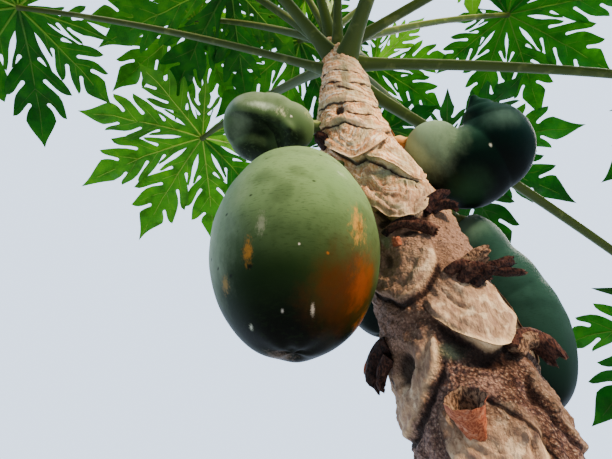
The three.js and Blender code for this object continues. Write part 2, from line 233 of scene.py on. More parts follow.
# Dried flower stalks and torn stubs: three spots as angle in degrees, height and space off the bark, the
# radii at the foot and at the end, how much of the length is hollow, the tone of the husk, and at the cup
# how ragged it is.
DARK, RUSSET, TAN, ORANGE = range(4)
SHOWN_HUSKS = [
    ([(-118, 1534, -4), (-118, 1544, 8), (-116, 1551, 20)], (6, 13), 0.7, ORANGE, 0.8),
    ([(-90, 1656, -2), (-84, 1661, 6), (-77, 1656, 8)], (5, 5.5), 0.5, RUSSET),
    ([(-80, 1648, -2), (-78, 1656, 9), (-71, 1652, 13)], (6, 6), 0.5, RUSSET),
    ([(-72, 1646, -2), (-68, 1656, 8), (-62, 1650, 13)], (7, 6), 0.4, DARK),
    ([(-70, 1664, -2), (-63, 1672, 8), (-56, 1672, 12)], (7, 9), 0.4, TAN),
    ([(-54, 1664, -4), (-42, 1668, 14), (-34, 1675, 22)], (7, 5), 0.3, DARK),
    ([(-44, 1666, 6), (-36, 1662, 18), (-32, 1663, 27)], (5, 3), 0, DARK),
    ([(-66, 1593, -3), (-46, 1616, 10), (-37, 1587, 14)], (8, 8), 0.6, RUSSET),
    ([(-62, 1590, -2), (-55, 1604, 5), (-48, 1598, 9)], (7, 7), 0.7, TAN),
    ([(-178, 1618, -4), (168, 1612, 15), (167, 1590, 15)], (9, 6), 0, DARK),
    ([(178, 1612, 0), (166, 1600, 17), (168, 1584, 13)], (6, 2), 0, DARK),
    ([(-176, 1606, 0), (174, 1594, 12), (174, 1583, 10)], (6, 3), 0, RUSSET),
    ([(174, 1618, 4), (166, 1612, 17), (164, 1602, 19)], (4, 3), 0.4, ORANGE),
    ([(-84, 1724, -2), (-74, 1738, 8), (-60, 1742, 12)], (7, 5), 0.5, DARK),
    ([(-74, 1728, -2), (-64, 1734, 10), (-58, 1724, 13)], (6, 4), 0.4, DARK),
    ([(-159, 1860, -3), (-158, 1867, 5), (-158, 1872, 7)], (9, 7), 0.6, DARK),
    ([(-124, 1692, -2), (-123, 1695, 2), (-122, 1697, 3)], (4, 3.5), 0.4, ORANGE),
    ([(-133, 1706, -1), (-112, 1718, 4), (-97, 1708, 2)], (4, 4), 0, DARK),
    ([(-128, 1708, 1), (-110, 1714, 6), (-88, 1698, 1)], (3, 5), 0, RUSSET),
    ([(-104, 1708, 1), (-94, 1706, 5), (-86, 1696, 3)], (3, 5), 0.3, RUSSET),
]
LOWER_STUMPS = 6
LOWER_STUMP_TOP = 1440
LOWER_STUMP_STEP = 130
SHREDS = 4
HUSK_SIDES = 24
HUSK_RINGS = 20
HUSK_WALL = 1.4

# Crown, by the rules of the part's source. The rises are in degrees.
LEAF_COUNT = 20
LEAF_STEP = 7
LEAF_START = math.radians(27)
OLD_RISE = 12
YOUNG_RISE = 72
YOUTH_POWER = 3
STALK_LENGTH = 560
YOUNG_STALK_SHARE = 0.84
STALK_ARCH = 0.035
STALK_BASE_RADIUS = 8.5
STALK_TIP_RADIUS = 6
YOUNG_THICKNESS_SHARE = 0.5
STALK_CLASP = 4
STALK_CLASP_LENGTH = 22
STALK_SIDES = 20
STALK_RINGS = 56

# Leaves with a place of their own: turn off the spiral and rise in degrees, and the stalk's length and
# stoutness.
OWN_LEAVES = {
    0: (0, -18, 700, 1),
    1: (13, 24.5, 635, 0.7),
    2: (-10, 22, 560, 1.2),
    3: (0, 38, 540, 1),
    4: (0, 33, 560, 1),
    5: (8, -2, 600, 1),
    6: (-2, 30, 543, 1),
    7: (0, 38, 560, 0.7),
    8: (3, 21, 460, 1),
    9: (-18, 61, 440, 1),
    10: (14, 12, 560, 1),
    11: (6, 63, 495, 1),
    12: (8, 57, 520, 1),
    13: (4, 42, 650, 1),
    14: (-1, 51, 600, 1),
    16: (-2, 53, 650, 1),
    17: (2, 67, 555, 1),
    18: (12, 52, 560, 1),
    19: (-15, 72, 560, 1),
}

# Blades: lobes on a disc of radius 1, narrow at the foot and with finger-like side lobes.
BLADE_RADIUS = 310
YOUNG_BLADE_SHARE = 0.6
SOURCE_BLADE_THICKNESS = 6.4
SOURCE_CLEARANCE = 0.3
BLADE_TILT = math.radians(13)
LEVEL_RISE = math.radians(20)
LOW_LEAF_TILT = 0.6
STEEP_RISE = math.radians(45)
STEEP_LEAF_TILT = 0.25
BLADE_DROOP = 0.2
LOBE_SPREAD = math.radians(38)
LOBE_REACH = (1, 0.96, 0.88, 0.74, 0.54)
SINUS_REACH = 0.16
HEEL_REACH = 0.05
LOBE_FOLD = 0.24
LOBE_SAG = 0.05
LOBE_STAGGER = 0.012
RIPPLE = 0.016
BLADE_FORMS = 3
CROSS_CUTS = 16

# Side lobes: where the vein leaves the rib, the tip, and the end of the notch in front of it.
SIDE_LOBES = [
    (0.24, (0.45, 0.145), (0.365, 0.062)),
    (0.38, (0.655, 0.232), (0.525, 0.072)),
    (0.56, (0.79, 0.185), (0.705, 0.066)),
]
SPEAR_SHOULDER = (0.81, 0.105)
REAR_SIDE_LOBES = 2
NOTCH_HALF_WIDTH = 0.012
NOTCH_AIM = math.radians(44)
EDGE_POINTS = 6
TIP_WANDER = 0.016
RIB_RADIUS = 0.0068
RIB_RINGS = 8
VEIN_RADIUS = 0.002
VEIN_RINGS = 4
VEIN_SIDES = 6

# The furled leaves at the growing tip.
HEART_LEAVES = 3
HEART_LENGTH = 150
HEART_RADIUS = 6
HEART_SPREAD = math.radians(7)
HEART_SUNK = 20
HEART_TAPER = 0.75
HEART_SWELL = 0.5
HEART_SIDES = 30
HEART_RINGS = 40

# Fruits: each is drawn out from its centre to the furthest of its rounded bodies.
FRUIT_SIDES = 128
FRUIT_RINGS = 96
FRUIT_BLEND = 12
FRUIT_FILL = 0.45
FRUIT_RIBS = 5
FRUIT_RIB_SHARE = 0.005
FRUIT_DIMPLE = 2
FRUIT_UNEVEN = 0.6
FRUIT_STALK_RADIUS = 8
FRUIT_STALK_SIDES = 24
FRUIT_STALK_RINGS = 40
FRUITS = [
    {
        "centre": (-321.5, -14, 1689),
        "bodies": [((0, 0, -8), (68, 68, 91)), ((0, 0, 15), (60, 60, 81))],
        "stalk": (1822, (-290, 8, 1828), (-318, -8, 1760)),
    },
    {
        "centre": (-354, 12, 1881),
        "bodies": [
            ((-19, -3, 3), (32, 32, 32)),
            ((2, -5, 5), (27, 27, 27)),
            ((23, 1, -2), (27, 27, 27)),
            ((-14, 7, -9), (28, 28, 28)),
        ],
        "stalk": (1895, (-296, 28, 1902), (-320, 18, 1890)),
    },
    {
        "centre": (-124, 33, 1852),
        "bodies": [
            ((-42, -6, 8), (31, 31, 31)),
            ((-24, 10, -12), (35, 35, 35)),
            ((-1, 8, -10), (45, 45, 45)),
            ((28, -8, 9), (41, 45, 48)),
            ((14, -26, 31), (21, 21, 21)),
            ((8, -34, 41), (10, 10, 10)),
            ((3, -40, 48), (4, 4, 4)),
        ],
        "stalk": (1868, (-196, 32, 1886), (-168, 33, 1872)),
    },
    {
        "centre": (-102, 103, 1694),
        "bodies": [
            ((8, 0, -28), (42, 43, 77)),
            ((0, 0, 16), (39, 41, 60)),
            ((-12, 0, 55), (33, 37, 70)),
        ],
        "stalk": (1812, (-160, 104, 1836), (-118, 98, 1806)),
    },
    {
        "centre": (-224, 146, 1778),
        "bodies": [((0, 0, -8), (50, 50, 82)), ((0, 0, 14), (46, 46, 78))],
        "stalk": (1890, (-236, 120, 1916), (-226, 140, 1856)),
    },
]
POINTED_FRUITS = (1, 2)
YELLOW_STALK_FRUIT = 2

# The small fruit's crease, across its face as the picture shows it: right and up from its centre.
CREASED_FRUIT = 1
FACE_RIGHT = Vector((1, 0, 0))
FACE_UP = Vector((0, -0.643, 0.766))
FACE_OUT = Vector((0, -0.766, -0.643))
CREASE = [(-44, 10), (-24, 6), (-7, 2), (8, -4), (20, -10)]
CREASE_BULGE = 2.5
CREASE_DEPTH = 8
BEAK_SPOT = (21, -8)
BEAK_HEIGHT = 5

# The stage, in metres. The picture's camera has a 36 mm wide sensor and looks along +Y and up.
CAMERA_PLACE = (-0.3124, -0.3175, 1.450)
CAMERA_PITCH = math.radians(40)
CAMERA_SENSOR = 36
PICTURE_WIDTH = 612
PICTURE_FOCAL = 460
BACKDROP_WAY = (0, 0.77, 0.64)
SKY_STRENGTH = 2.6
FLOOR_RADIUS = 5
FLOOR_GAP = 0.001


def mix(a, b, t):
    return a + (b - a) * t


def smooth(lo, hi, x):
    t = min(1.0, max(0.0, (x - lo) / (hi - lo)))
    return t * t * (3 - 2 * t)


def bell(x):
    return math.exp(-x * x)


def heading(azimuth, rise=0.0):
    level = math.cos(rise)
    return Vector((level * math.cos(azimuth), level * math.sin(azimuth), math.sin(rise)))


def axis_at(z):
    run = z - UPRIGHT_HEIGHT * (1 - math.exp(-z / UPRIGHT_HEIGHT))
    sway = SWAY * math.exp(-(((z - SWAY_HEIGHT) / SWAY_LENGTH) ** 2))
    return Vector((LEAN_X * run + sway, LEAN_Y * run, z))


def plain_radius(z):
    return (FOOT_RADIUS - TAPER * z) * (1 - (z / POINT_HEIGHT) ** POINT_POWER)


def flared_radius(angle, z):
    ribs = 1 + ROOT_RIB_SHARE * math.cos(ROOT_RIBS * angle)
    return plain_radius(z) + ROOT_FLARE * math.exp(-z / ROOT_FLARE_HEIGHT) * ribs


def linear(code):
    """An sRGB hex colour as the linear RGBA that a socket takes."""
    parts = [int(code[i : i + 2], 16) / 255 for i in (1, 3, 5)]
    return tuple(c / 12.92 if c <= 0.04045 else ((c + 0.055) / 1.055) ** 2.4 for c in parts) + (1.0,)


def append(bm, other):
    """Adds another bmesh to this one and frees it."""
    carrier = bpy.data.meshes.new("carrier")
    other.to_mesh(carrier)
    other.free()
    bm.from_mesh(carrier)
    bpy.data.meshes.remove(carrier)


def add_rod(bm, sides, rings, rule, finish=lambda t: 0):
    """Adds a closed rod: one rule places its vertices by the share along it and the angle, and one picks
    the number of its faces' material by the share along it."""
    rod = bmesh.new()
    bmesh.ops.create_cone(rod, cap_ends=True, segments=sides, radius1=1, radius2=1, depth=1)
    uprights = [e for e in rod.edges if abs(e.verts[0].co.z - e.verts[1].co.z) > 0.5]
    bmesh.ops.subdivide_edges(rod, edges=uprights, cuts=rings - 1)
    for face in rod.faces:
        face.material_index = finish(face.calc_center_median().z + 0.5)
    for v in rod.verts:
        v.co = rule(v.co.z + 0.5, math.atan2(v.co.y, v.co.x))
    append(bm, rod)


def across_of(direction):
    """Two unit vectors across a direction, the first one level."""
    side = direction.cross(Vector((0, 0, 1)))
    side = side.normalized() if side.length > 1e-4 else Vector((1, 0, 0))
    return side, side.cross(direction).normalized()


def round_at(place, way, turn, wide, tall):
    """A point round a place: on an oval across a direction, at a turn about it."""
    side, up = across_of(way)
    return place + side * wide * math.cos(turn) + up * tall * math.sin(turn)


def curve_at(start, middle, end, t):
    """Place and direction on a curve that starts and ends at two points and bends towards a third."""
    place = start * (1 - t) ** 2 + middle * 2 * t * (1 - t) + end * t * t
    way = (middle - start) * 2 * (1 - t) + (end - middle) * 2 * t
    return place, way.normalized()


def add_piece(bm, name, materials, nodes):
    """Turns a bmesh in millimetres into a finished piece in metres that stands for nodes of the frame."""
    bmesh.ops.scale(bm, vec=(MM, MM, MM), verts=bm.verts)
    bmesh.ops.recalc_face_normals(bm, faces=bm.faces)
    mesh = bpy.data.meshes.new(name)
    bm.to_mesh(mesh)
    bm.free()
    for material in materials:
        mesh.materials.append(material)
    mesh.shade_smooth()
    mesh.set_sharp_from_angle(angle=SHARP_EDGE)
    piece = bpy.data.objects.new(name, mesh)
    bpy.context.scene.collection.objects.link(piece)
    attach(piece, "root")
    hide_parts(*nodes)
    return piece


# Materials


def add_node(tree, kind, inputs=None, **settings):
    """Adds a node with its settings, sets or links its input sockets, and returns its outputs."""
    made = tree.nodes.new(kind)
    for name, value in settings.items():
        setattr(made, name, value)
    for socket, value in (inputs or {}).items():
        if isinstance(value, bpy.types.NodeSocket):
            tree.links.new(value, made.inputs[socket])
        else:
            made.inputs[socket].default_value = value
    return made.outputs


def new_material(name):
    """A node-based material with nothing but coordinates: the material, its tree and the coordinates."""
    material = bpy.data.materials.new(name)
    material.use_nodes = True
    tree = material.node_tree
    tree.nodes.clear()
    return material, tree, add_node(tree, "ShaderNodeTexCoord")["Object"]


def lay_colours(tree, colour, layers):
    """Lays colours over one another, each with its own mask, the mask's span and its greatest share."""
    for code, mask, lo, hi, share in layers:
        span = {"Value": mask, "From Min": lo, "From Max": hi, "To Max": share}
        part = add_node(tree, "ShaderNodeMapRange", span, interpolation_type="SMOOTHSTEP")["Result"]
        above = linear(code) if isinstance(code, str) else code
        colour = add_node(tree, "ShaderNodeMix", {0: part, 6: colour, 7: above}, data_type="RGBA")[2]
    return colour


def finish_skin(tree, colour, relief, strength, depth, roughness, gloss):
    """Closes a material with one bumped, satin or matt skin."""
    bump = add_node(tree, "ShaderNodeBump", {"Strength": strength, "Distance": depth, "Height": relief})[0]
    inputs = {"Base Color": colour, "Roughness": roughness, "Specular IOR Level": gloss, "Normal": bump}
    skin = add_node(tree, "ShaderNodeBsdfPrincipled", inputs)[0]
    add_node(tree, "ShaderNodeOutputMaterial", {"Surface": skin})


def bark_material(settings):
    """Papaya bark: soft brown cork in grains, with pale papery leaf scars painted darker away from the
    lamps, and nearly black painted shade in the grooves and hollows. Rough and quite matt.
    """
    material, tree, place = new_material("papaya bark")
    height = add_node(tree, "ShaderNodeSeparateXYZ", {0: place})["Z"]
    zones = add_node(tree, "ShaderNodeAttribute", attribute_name="zones")["Vector"]
    scar, lip, shaded_groove = add_node(tree, "ShaderNodeSeparateXYZ", {0: zones})
    stain = add_node(tree, "ShaderNodeAttribute", attribute_name="stain")["Fac"]
    grain = add_node(tree, "ShaderNodeAttribute", attribute_name="grain")["Vector"]
    broad = add_node(tree, "ShaderNodeTexNoise", {"Vector": place, "Scale": 1 / (38 * MM)})["Fac"]
    blots = add_node(
        tree, "ShaderNodeTexNoise", {"Vector": place, "Scale": 1 / (13 * MM), "Detail": 4.0}
    )["Fac"]
    # Cork grains are about 2.4 mm wide, and the papery wrinkles 3 by 13 mm.
    cells = 1 / (2.4 * MM)
    cork = add_node(
        tree, "ShaderNodeTexNoise", {"Vector": place, "Scale": cells, "Detail": 3.0, "Roughness": 0.7}
    )["Fac"]
    grains = add_node(tree, "ShaderNodeTexVoronoi", {"Vector": place, "Scale": cells})["Distance"]
    strips = add_node(tree, "ShaderNodeMapping", {"Vector": grain, "Scale": (1 / 16, 1 / 4, 1)})[0]
    bands = add_node(tree, "ShaderNodeTexNoise", {"Vector": strips, "Scale": 1.0, "Detail": 4.0})["Fac"]
    upright = (1 / (3 * MM), 1 / (3 * MM), 1 / (13 * MM))
    threads = add_node(tree, "ShaderNodeMapping", {"Vector": place, "Scale": upright})[0]
    fibre = add_node(
        tree, "ShaderNodeTexNoise", {"Vector": threads, "Scale": 1.0, "Detail": 5.0, "Roughness": 0.6}
    )["Fac"]
    cork_colour = lay_colours(tree, linear("#4a3024"), [
        ("#806156", broad, 0.4, 0.6, 1.0),
        ("#6a504e", blots, 0.54, 0.68, 0.45),
        ("#8d6d58", cork, 0.5, 0.64, 0.5),
        ("#c4ab92", grains, 0.42, 0.1, 0.35),
        ("#1a0d09", grains, 0.5, 0.8, 0.7),
        ("#1a0d09", cork, 0.44, 0.35, 0.7),
    ])
    shield = lay_colours(tree, linear("#92765f"), [
        ("#b3906c", broad, 0.42, 0.6, 0.8),
        ("#d0b08c", fibre, 0.45, 0.62, 0.5),
        ("#77584c", blots, 0.5, 0.68, 0.6),
        ("#ecd6b4", blots, 0.46, 0.34, 0.55),
        ("#54392b", fibre, 0.4, 0.3, 0.45),
    ])
    paper = lay_colours(tree, linear("#cc8f5c"), [
        ("#f7d8ac", fibre, 0.42, 0.62, 0.8),
        ("#a4602e", bands, 0.53, 0.68, 0.35),
        ("#fff0d6", bands, 0.47, 0.36, 0.75),
        ("#8f9676", broad, 0.52, 0.64, 0.5),
        ("#784626", blots, 0.54, 0.68, 0.6),
        ("#4f2e1a", bands, 0.62, 0.72, 0.6),
    ])
    colour = lay_colours(tree, cork_colour, [
        ("#9a7860", height, 1.56, 1.7, 0.5),
        (shield, scar, 0.1, 0.8, 0.95),
        (paper, height, 1.71, 1.81, 1.0),
        ("#efcf9f", lip, 0.1, 0.9, 0.5),
        ("#737d60", stain, 0.0, 1.0, 0.7),
        # Painted shade: nearly black brown in the grooves under the rims, under the lifted edges and in
        # deep hollows.
        ("#1d100b", shaded_groove, 0.25, 0.85, 0.92),
    ])
    pebbled = add_node(tree, "ShaderNodeMath", {0: grains, 1: -0.6, 2: cork}, operation="MULTIPLY_ADD")[0]
    relief = add_node(tree, "ShaderNodeMix", {0: scar, 2: pebbled, 3: fibre}, data_type="FLOAT")[0]
    finish_skin(tree, colour, relief, 0.9, settings.grain_depth, 0.85, 0.3)
    return material


def husk_material(name, dark, light, edge):
    """Dried flower stalk: shrunken and fibrous, with paler torn edges. Matt."""
    material, tree, place = new_material(name)
    streaks = add_node(tree, "ShaderNodeMapping", {"Vector": place, "Scale": (1.0, 1.0, 0.4)})[0]
    # Fibres are drawn 1.6 mm wide, coarser than real ones, so that they show.
    fibres = add_node(
        tree, "ShaderNodeTexNoise",
        {"Vector": streaks, "Scale": 1 / (1.6 * MM), "Detail": 4.0, "Roughness": 0.6},
    )["Fac"]
    blots = add_node(tree, "ShaderNodeTexNoise", {"Vector": place, "Scale": 1 / (7 * MM)})["Fac"]
    colour = lay_colours(tree, linear(dark), [
        (light, fibres, 0.4, 0.62, 1.0),
        (edge, blots, 0.54, 0.7, 0.45),
        (dark, fibres, 0.42, 0.34, 0.6),
    ])
    finish_skin(tree, colour, fibres, 0.9, 2 * MM, 0.8, 0.25)
    return material


# Husks: name, dark fibres, light fibres and torn edges, in the order of the tones.
HUSK_SKINS = [
    ("dried stalk husk", "#0f0706", "#35201a", "#54382c"),
    ("russet stalk husk", "#1e0f0b", "#4c2f25", "#7d5a48"),
    ("tan stalk husk", "#3c2a20", "#8c6c54", "#bb9c7c"),
    ("orange torn stub", "#823f28", "#b06a48", "#d8a888"),
]


def stalk_material(name, top, under):
    """Leaf stalk skin: smooth waxy green, painted paler on top as light and darker below as shade, with
    faint blots.
    """
    material, tree, place = new_material(name)
    normal = add_node(tree, "ShaderNodeNewGeometry")["Normal"]
    up = add_node(tree, "ShaderNodeSeparateXYZ", {0: normal})["Z"]
    blots = add_node(
        tree, "ShaderNodeTexNoise", {"Vector": place, "Scale": 1 / (22 * MM), "Detail": 3.0}
    )["Fac"]
    specks = add_node(tree, "ShaderNodeTexNoise", {"Vector": place, "Scale": 1 / (2.5 * MM)})["Fac"]
    colour = lay_colours(tree, linear(under), [
        # Painted light and shade: the top colour where the skin faces up, the under colour where it faces
        # down.
        (top, up, -0.35, 0.7, 1.0),
        (top, blots, 0.56, 0.72, 0.12),
        ("#26351c", specks, 0.6, 0.7, 0.35),
    ])
    finish_skin(tree, colour, specks, 0.25, 0.8 * MM, 0.5, 0.2)
    return material


def leaf_material(name, colour, glow, share):
    """Living leaf: thin and satiny, and lit through by the sky, so that its underside glows."""
    material, tree, place = new_material(name)
    # Soft blots about 30 mm wide, and the small panes between the finest veins, about 5 mm wide.
    blots = add_node(
        tree, "ShaderNodeTexNoise", {"Vector": place, "Scale": 1 / (30 * MM), "Detail": 3.0}
    )["Fac"]
    panes = add_node(
        tree, "ShaderNodeTexVoronoi", {"Vector": place, "Scale": 1 / (5 * MM)}, feature="DISTANCE_TO_EDGE"
    )["Distance"]
    colour = lay_colours(tree, linear(colour), [
        (glow, blots, 0.5, 0.68, 0.35),
        ("#0a2608", blots, 0.48, 0.34, 0.35),
        (glow, panes, 0.09, 0.02, 0.25),
    ])
    bent = add_node(
        tree, "ShaderNodeBump", {"Height": panes, "Strength": 0.35, "Distance": 0.4 * MM}
    )["Normal"]
    face = add_node(
        tree, "ShaderNodeBsdfPrincipled",
        {"Base Color": colour, "Roughness": 0.55, "Specular IOR Level": 0.15, "Normal": bent},
    )[0]
    lit = lay_colours(tree, linear(glow), [("#1d5a04", blots, 0.5, 0.3, 0.4)])
    through = add_node(tree, "ShaderNodeBsdfTranslucent", {"Color": lit, "Normal": bent})[0]
    both = add_node(tree, "ShaderNodeMixShader", {0: share, 1: face, 2: through})[0]
    add_node(tree, "ShaderNodeOutputMaterial", {"Surface": both})
    return material


# Leaf colours: face, the light that comes through, and ribs, from the shaded to the young leaves: steps
# of painted light and shade from deeply shaded to sunlit, then the young leaves' paler green. Each leaf
# has one of them, and single lobes are painted a step more lit or more shaded.
LEAF_COLOURS = [
    ("deeply shaded papaya leaf", "#0e400a", "#267004", "#2c5c1c"),
    ("shaded papaya leaf", "#114a0e", "#338204", "#3a6a20"),
    ("grown papaya leaf", "#1e5e10", "#4c9a06", "#5a8a26"),
    ("sunlit papaya leaf", "#33741a", "#6cae10", "#80a63a"),
    ("young papaya leaf", "#5c942a", "#a2d436", "#aac464"),
]
LEAF_SHADES = [1, 2, 2, 1, 2, 2, 3, 2, 1, 2, 2, 2, 2, 2, 3, 2, 3, 3, 4, 3]
LOBE_SHADE_STEPS = (-1, 0, 0, 0, 1)


def lay_mark(tree, place, colour, code, centre, half, share, ragged=2.6):
    """A blot with a wandering edge round a point: its colour, centre and half sizes in millimetres."""
    inverse = tuple(1 / (h * MM) for h in half)
    middle = tuple(c * MM for c in centre)
    moved = add_node(tree, "ShaderNodeVectorMath", {0: place, 1: middle}, operation="SUBTRACT")[0]
    scaled = add_node(tree, "ShaderNodeVectorMath", {0: moved, 1: inverse}, operation="MULTIPLY")[0]
    reach = add_node(tree, "ShaderNodeVectorMath", {0: scaled}, operation="LENGTH")["Value"]
    size = max(0.6, 0.4 * min(half))
    streaks = add_node(tree, "ShaderNodeMapping", {"Vector": place, "Scale": (1.0, 1.0, 0.5)})[0]
    edge = add_node(
        tree, "ShaderNodeTexNoise",
        {"Vector": streaks, "Scale": 1 / (size * MM), "Detail": 5.0, "Roughness": 0.7},
    )["Fac"]
    total = add_node(tree, "ShaderNodeMath", {0: edge, 1: ragged, 2: reach}, operation="MULTIPLY_ADD")[0]
    return lay_colours(tree, colour, [(code, total, 1 + ragged / 2, ragged / 2, share)])


def fruit_material(fruit, settings, name, tones, marks):
    """Papaya skin: satin, paler on top as a waxy coat and painted light, nearly black below as painted
    shade, and specks and scuffs.
    """
    bottom, middle, bloom_and_painted_light = tones
    material, tree, place = new_material(name)
    normal = add_node(tree, "ShaderNodeNewGeometry")["Normal"]
    up = add_node(tree, "ShaderNodeSeparateXYZ", {0: normal})["Z"]
    mottle = add_node(
        tree, "ShaderNodeTexNoise", {"Vector": place, "Scale": 1 / (24 * MM), "Detail": 3.0}
    )["Fac"]
    hatch = add_node(tree, "ShaderNodeMapping", {"Vector": place, "Scale": (0.3, 0.3, 1.0)})[0]
    fine = add_node(
        tree, "ShaderNodeTexNoise",
        {"Vector": hatch, "Scale": 1 / (1.4 * MM), "Detail": 3.0, "Roughness": 0.6},
    )["Fac"]
    # Painted light and shade by facing: nearly black where the skin faces down, paler where it faces up,
    # which is partly a waxy coat.
    colour = lay_colours(tree, linear(bottom), [
        (middle, up, -0.9, -0.45, 1.0),
        (bloom_and_painted_light, up, -0.55, 0.4, settings.bloom_and_painted_light),
        (middle, mottle, 0.5, 0.7, 0.35),
        (middle, fine, 0.52, 0.66, 0.3),
    ])
    for code, centre, half, *rest in marks:
        if max(half) < SMALL_MARK:
            centre = on_skin(fruit, centre)
        colour = lay_mark(tree, place, colour, code, centre, half, *rest)
    finish_skin(tree, colour, fine, 0.2, 0.5 * MM, 0.5, 0.05)
    return material


# Marks: colour, centre and half sizes in millimetres, share, and how ragged the edge is. The small ones
# are moved onto the skin.
SMALL_MARK = 12
RIPE_MARKS = [
    # Painted light: the left side paler, with a sheen.
    ("#9aac8c", (-392, -30, 1690), (52, 90, 90), 0.65, 0.8),
    ("#5d7d4a", (-290, -72, 1700), (34, 46, 46), 0.5, 0.5),
    ("#1c2c14", (-254, -20, 1690), (20, 60, 50), 0.55, 1.2),
    ("#3a3810", (-277, -47, 1644), (52, 50, 80), 0.5, 0.8),
    ("#3c1a02", (-283, -48, 1618), (46, 42, 52), 0.85, 1.4),
    ("#6c3004", (-271, -42, 1632), (20, 22, 34), 0.75, 1.8),
    ("#8a4a12", (-272, -6, 1618), (14, 20, 14), 0.7),
    ("#a8752c", (-276, -60, 1668), (9, 13, 20), 0.85),
    ("#3c2a14", (-274, -62, 1666), (4, 7, 9), 0.8),
    ("#a06820", (-352, -67, 1642), (5, 8, 14), 0.75),
    ("#0c0805", (-350, -63, 1631), (3.2, 5, 2.2), 0.95, 1.2),
    ("#9c7634", (-369, -44, 1629), (5, 9, 9), 0.5),
    ("#8f907c", (-343, -76, 1658), (5, 9, 11), 0.4),
    ("#b9ab98", (-308, -50, 1605), (2, 6, 7), 0.7, 1.8),
    ("#cfc8ba", (-328, -50, 1605), (1.4, 3, 1.8), 0.7, 1.2),
    ("#c3c8b4", (-350, -32, 1602), (2, 4, 3), 0.7),
    ("#cfc8ba", (-317, -75, 1641), (1.2, 3, 1.2), 0.7, 0.8),
    ("#8a4a14", (-298, -69, 1638), (1.5, 3, 1.5), 0.8, 0.8),
    ("#7d6c62", (-332, -7, 1592), (14, 12, 6), 0.5),
    ("#0c0805", (-320, -15, 1590), (4, 4, 4), 0.9),
    ("#9fae90", (-286, -66, 1714), (6, 10, 6), 0.5),
]
SPECKS = [
    (-301, -66, 1738), (-344, -68, 1732), (-307, -80, 1694), (-352, -75, 1685), (-370, -62, 1678),
    (-383, -37, 1656), (-375, -44, 1643), (-364, -52, 1631), (-385, -15, 1639),
]
RIPE_MARKS += [("#0a0705", speck, (2.2, 3, 1.8), 0.95, 0.6) for speck in SPECKS]
CREASED_MARKS = [
    ("#b9ccb4", (-362, -18, 1872), (24, 16, 8), 0.85, 0.8),
    ("#c9cca6", (-340, -12, 1870), (9, 12, 8), 0.6),
    ("#a3b6ab", (-390, -6, 1885), (22, 30, 17), 0.75, 0.6),
    ("#b9bc7c", (-312, 2, 1880), (7, 16, 9), 0.6),
    # Painted light: the left part lighter where it lies in shade.
    ("#6f8066", (-384, 2, 1868), (20, 34, 26), 0.7, 0.5),
    # Painted shade: the nearly black wedge in the hollow under the crease.
    ("#030803", (-363, 1, 1856), (31, 17, 14), 0.97, 0.4),
    ("#5b4a2c", (-377, -8, 1862), (5, 6, 4), 0.4),
    ("#e2decd", (-332, -10, 1868), (1.8, 5, 1.8), 0.9),
]
# Painted light: the top of the fourth fruit lighter, where the third fruit shades it.
DEEP_MARKS = [("#5d7a68", (-138, 78, 1792), (44, 44, 44), 0.85, 0.6)]
PEAKED_MARKS = [
    # Painted shade and painted reflection: the right lobe darker, with a blue tint of the sky.
    ("#03141a", (-84, 10, 1872), (62, 70, 66), 0.9, 0.5),
    ("#3a524a", (-104, -28, 1858), (34, 30, 24), 0.75, 0.6),
    # Painted light: the lower left of the lobe lighter where it lies in shade.
    ("#1d3a24", (-138, 30, 1799), (34, 34, 30), 0.8, 0.5),
    # Painted light: the left lobe paler, as lit from above.
    ("#8aa886", (-180, 16, 1867), (58, 54, 70), 0.9, 0.5),
    ("#b0763c", (-188, 20, 1870), (7, 14, 14), 0.6),
    ("#140d08", (-121, -8, 1901), (4.5, 5, 4.5), 0.95),
    ("#a9aea4", (-119, -5, 1828), (2.4, 5, 3), 0.8, 1.4),
]

# Skins: name, tones below, beside and on top, and marks. The tone below is painted shade, and the one on
# top a waxy coat with painted light. The fruit behind the trunk has the last one.
FRUIT_SKINS = [
    ("ripening papaya skin", ("#010300", "#12220a", "#7d9c66"), RIPE_MARKS),
    ("creased papaya skin", ("#141f10", "#3f5433", "#849a74"), CREASED_MARKS),
    ("dark peaked papaya skin", ("#000302", "#020c08", "#1b3a2c"), PEAKED_MARKS),
    ("dark green papaya skin", ("#020806", "#0c1d18", "#254239"), DEEP_MARKS),
]


# Trunk


def rim_table(points):
    """Heights along a rim at even steps of angle, on a smooth curve through its points."""
    heights = []
    for i in range(RIM_STEPS + 1):
        angle = mix(points[0][0], points[-1][0], i / RIM_STEPS)
        j = max(0, min(len(points) - 2, sum(p[0] <= angle for p in points) - 1))
        (a0, z0), (a1, z1) = points[j], points[j + 1]
        before = points[max(0, j - 1)]
        after = points[min(len(points) - 1, j + 2)]
        lead = (z1 - before[1]) / (a1 - before[0]) * (a1 - a0)
        trail = (after[1] - z0) / (after[0] - a0) * (a1 - a0)
        t = (angle - a0) / (a1 - a0)
        heights.append(
            (2 * t**3 - 3 * t**2 + 1) * z0 + (t**3 - 2 * t**2 + t) * lead
            + (3 * t**2 - 2 * t**3) * z1 + (t**3 - t**2) * trail
        )
    return heights


def new_scar(rim, **settings):
    """One leaf scar, from its rim as angles in radians and heights."""
    heights = rim_table(rim)
    span = rim[-1][0] - rim[0][0]
    own = {**PLAIN_SCAR, **settings}
    return SimpleNamespace(left=rim[0][0], span=span, heights=heights, low=min(heights), **own)


def by_age(sizes, old, young):
    """One of the spiral's sizes: low, along most of the trunk, under the crown, or between two."""
    return mix(mix(sizes[1], sizes[0], old), sizes[2], young)


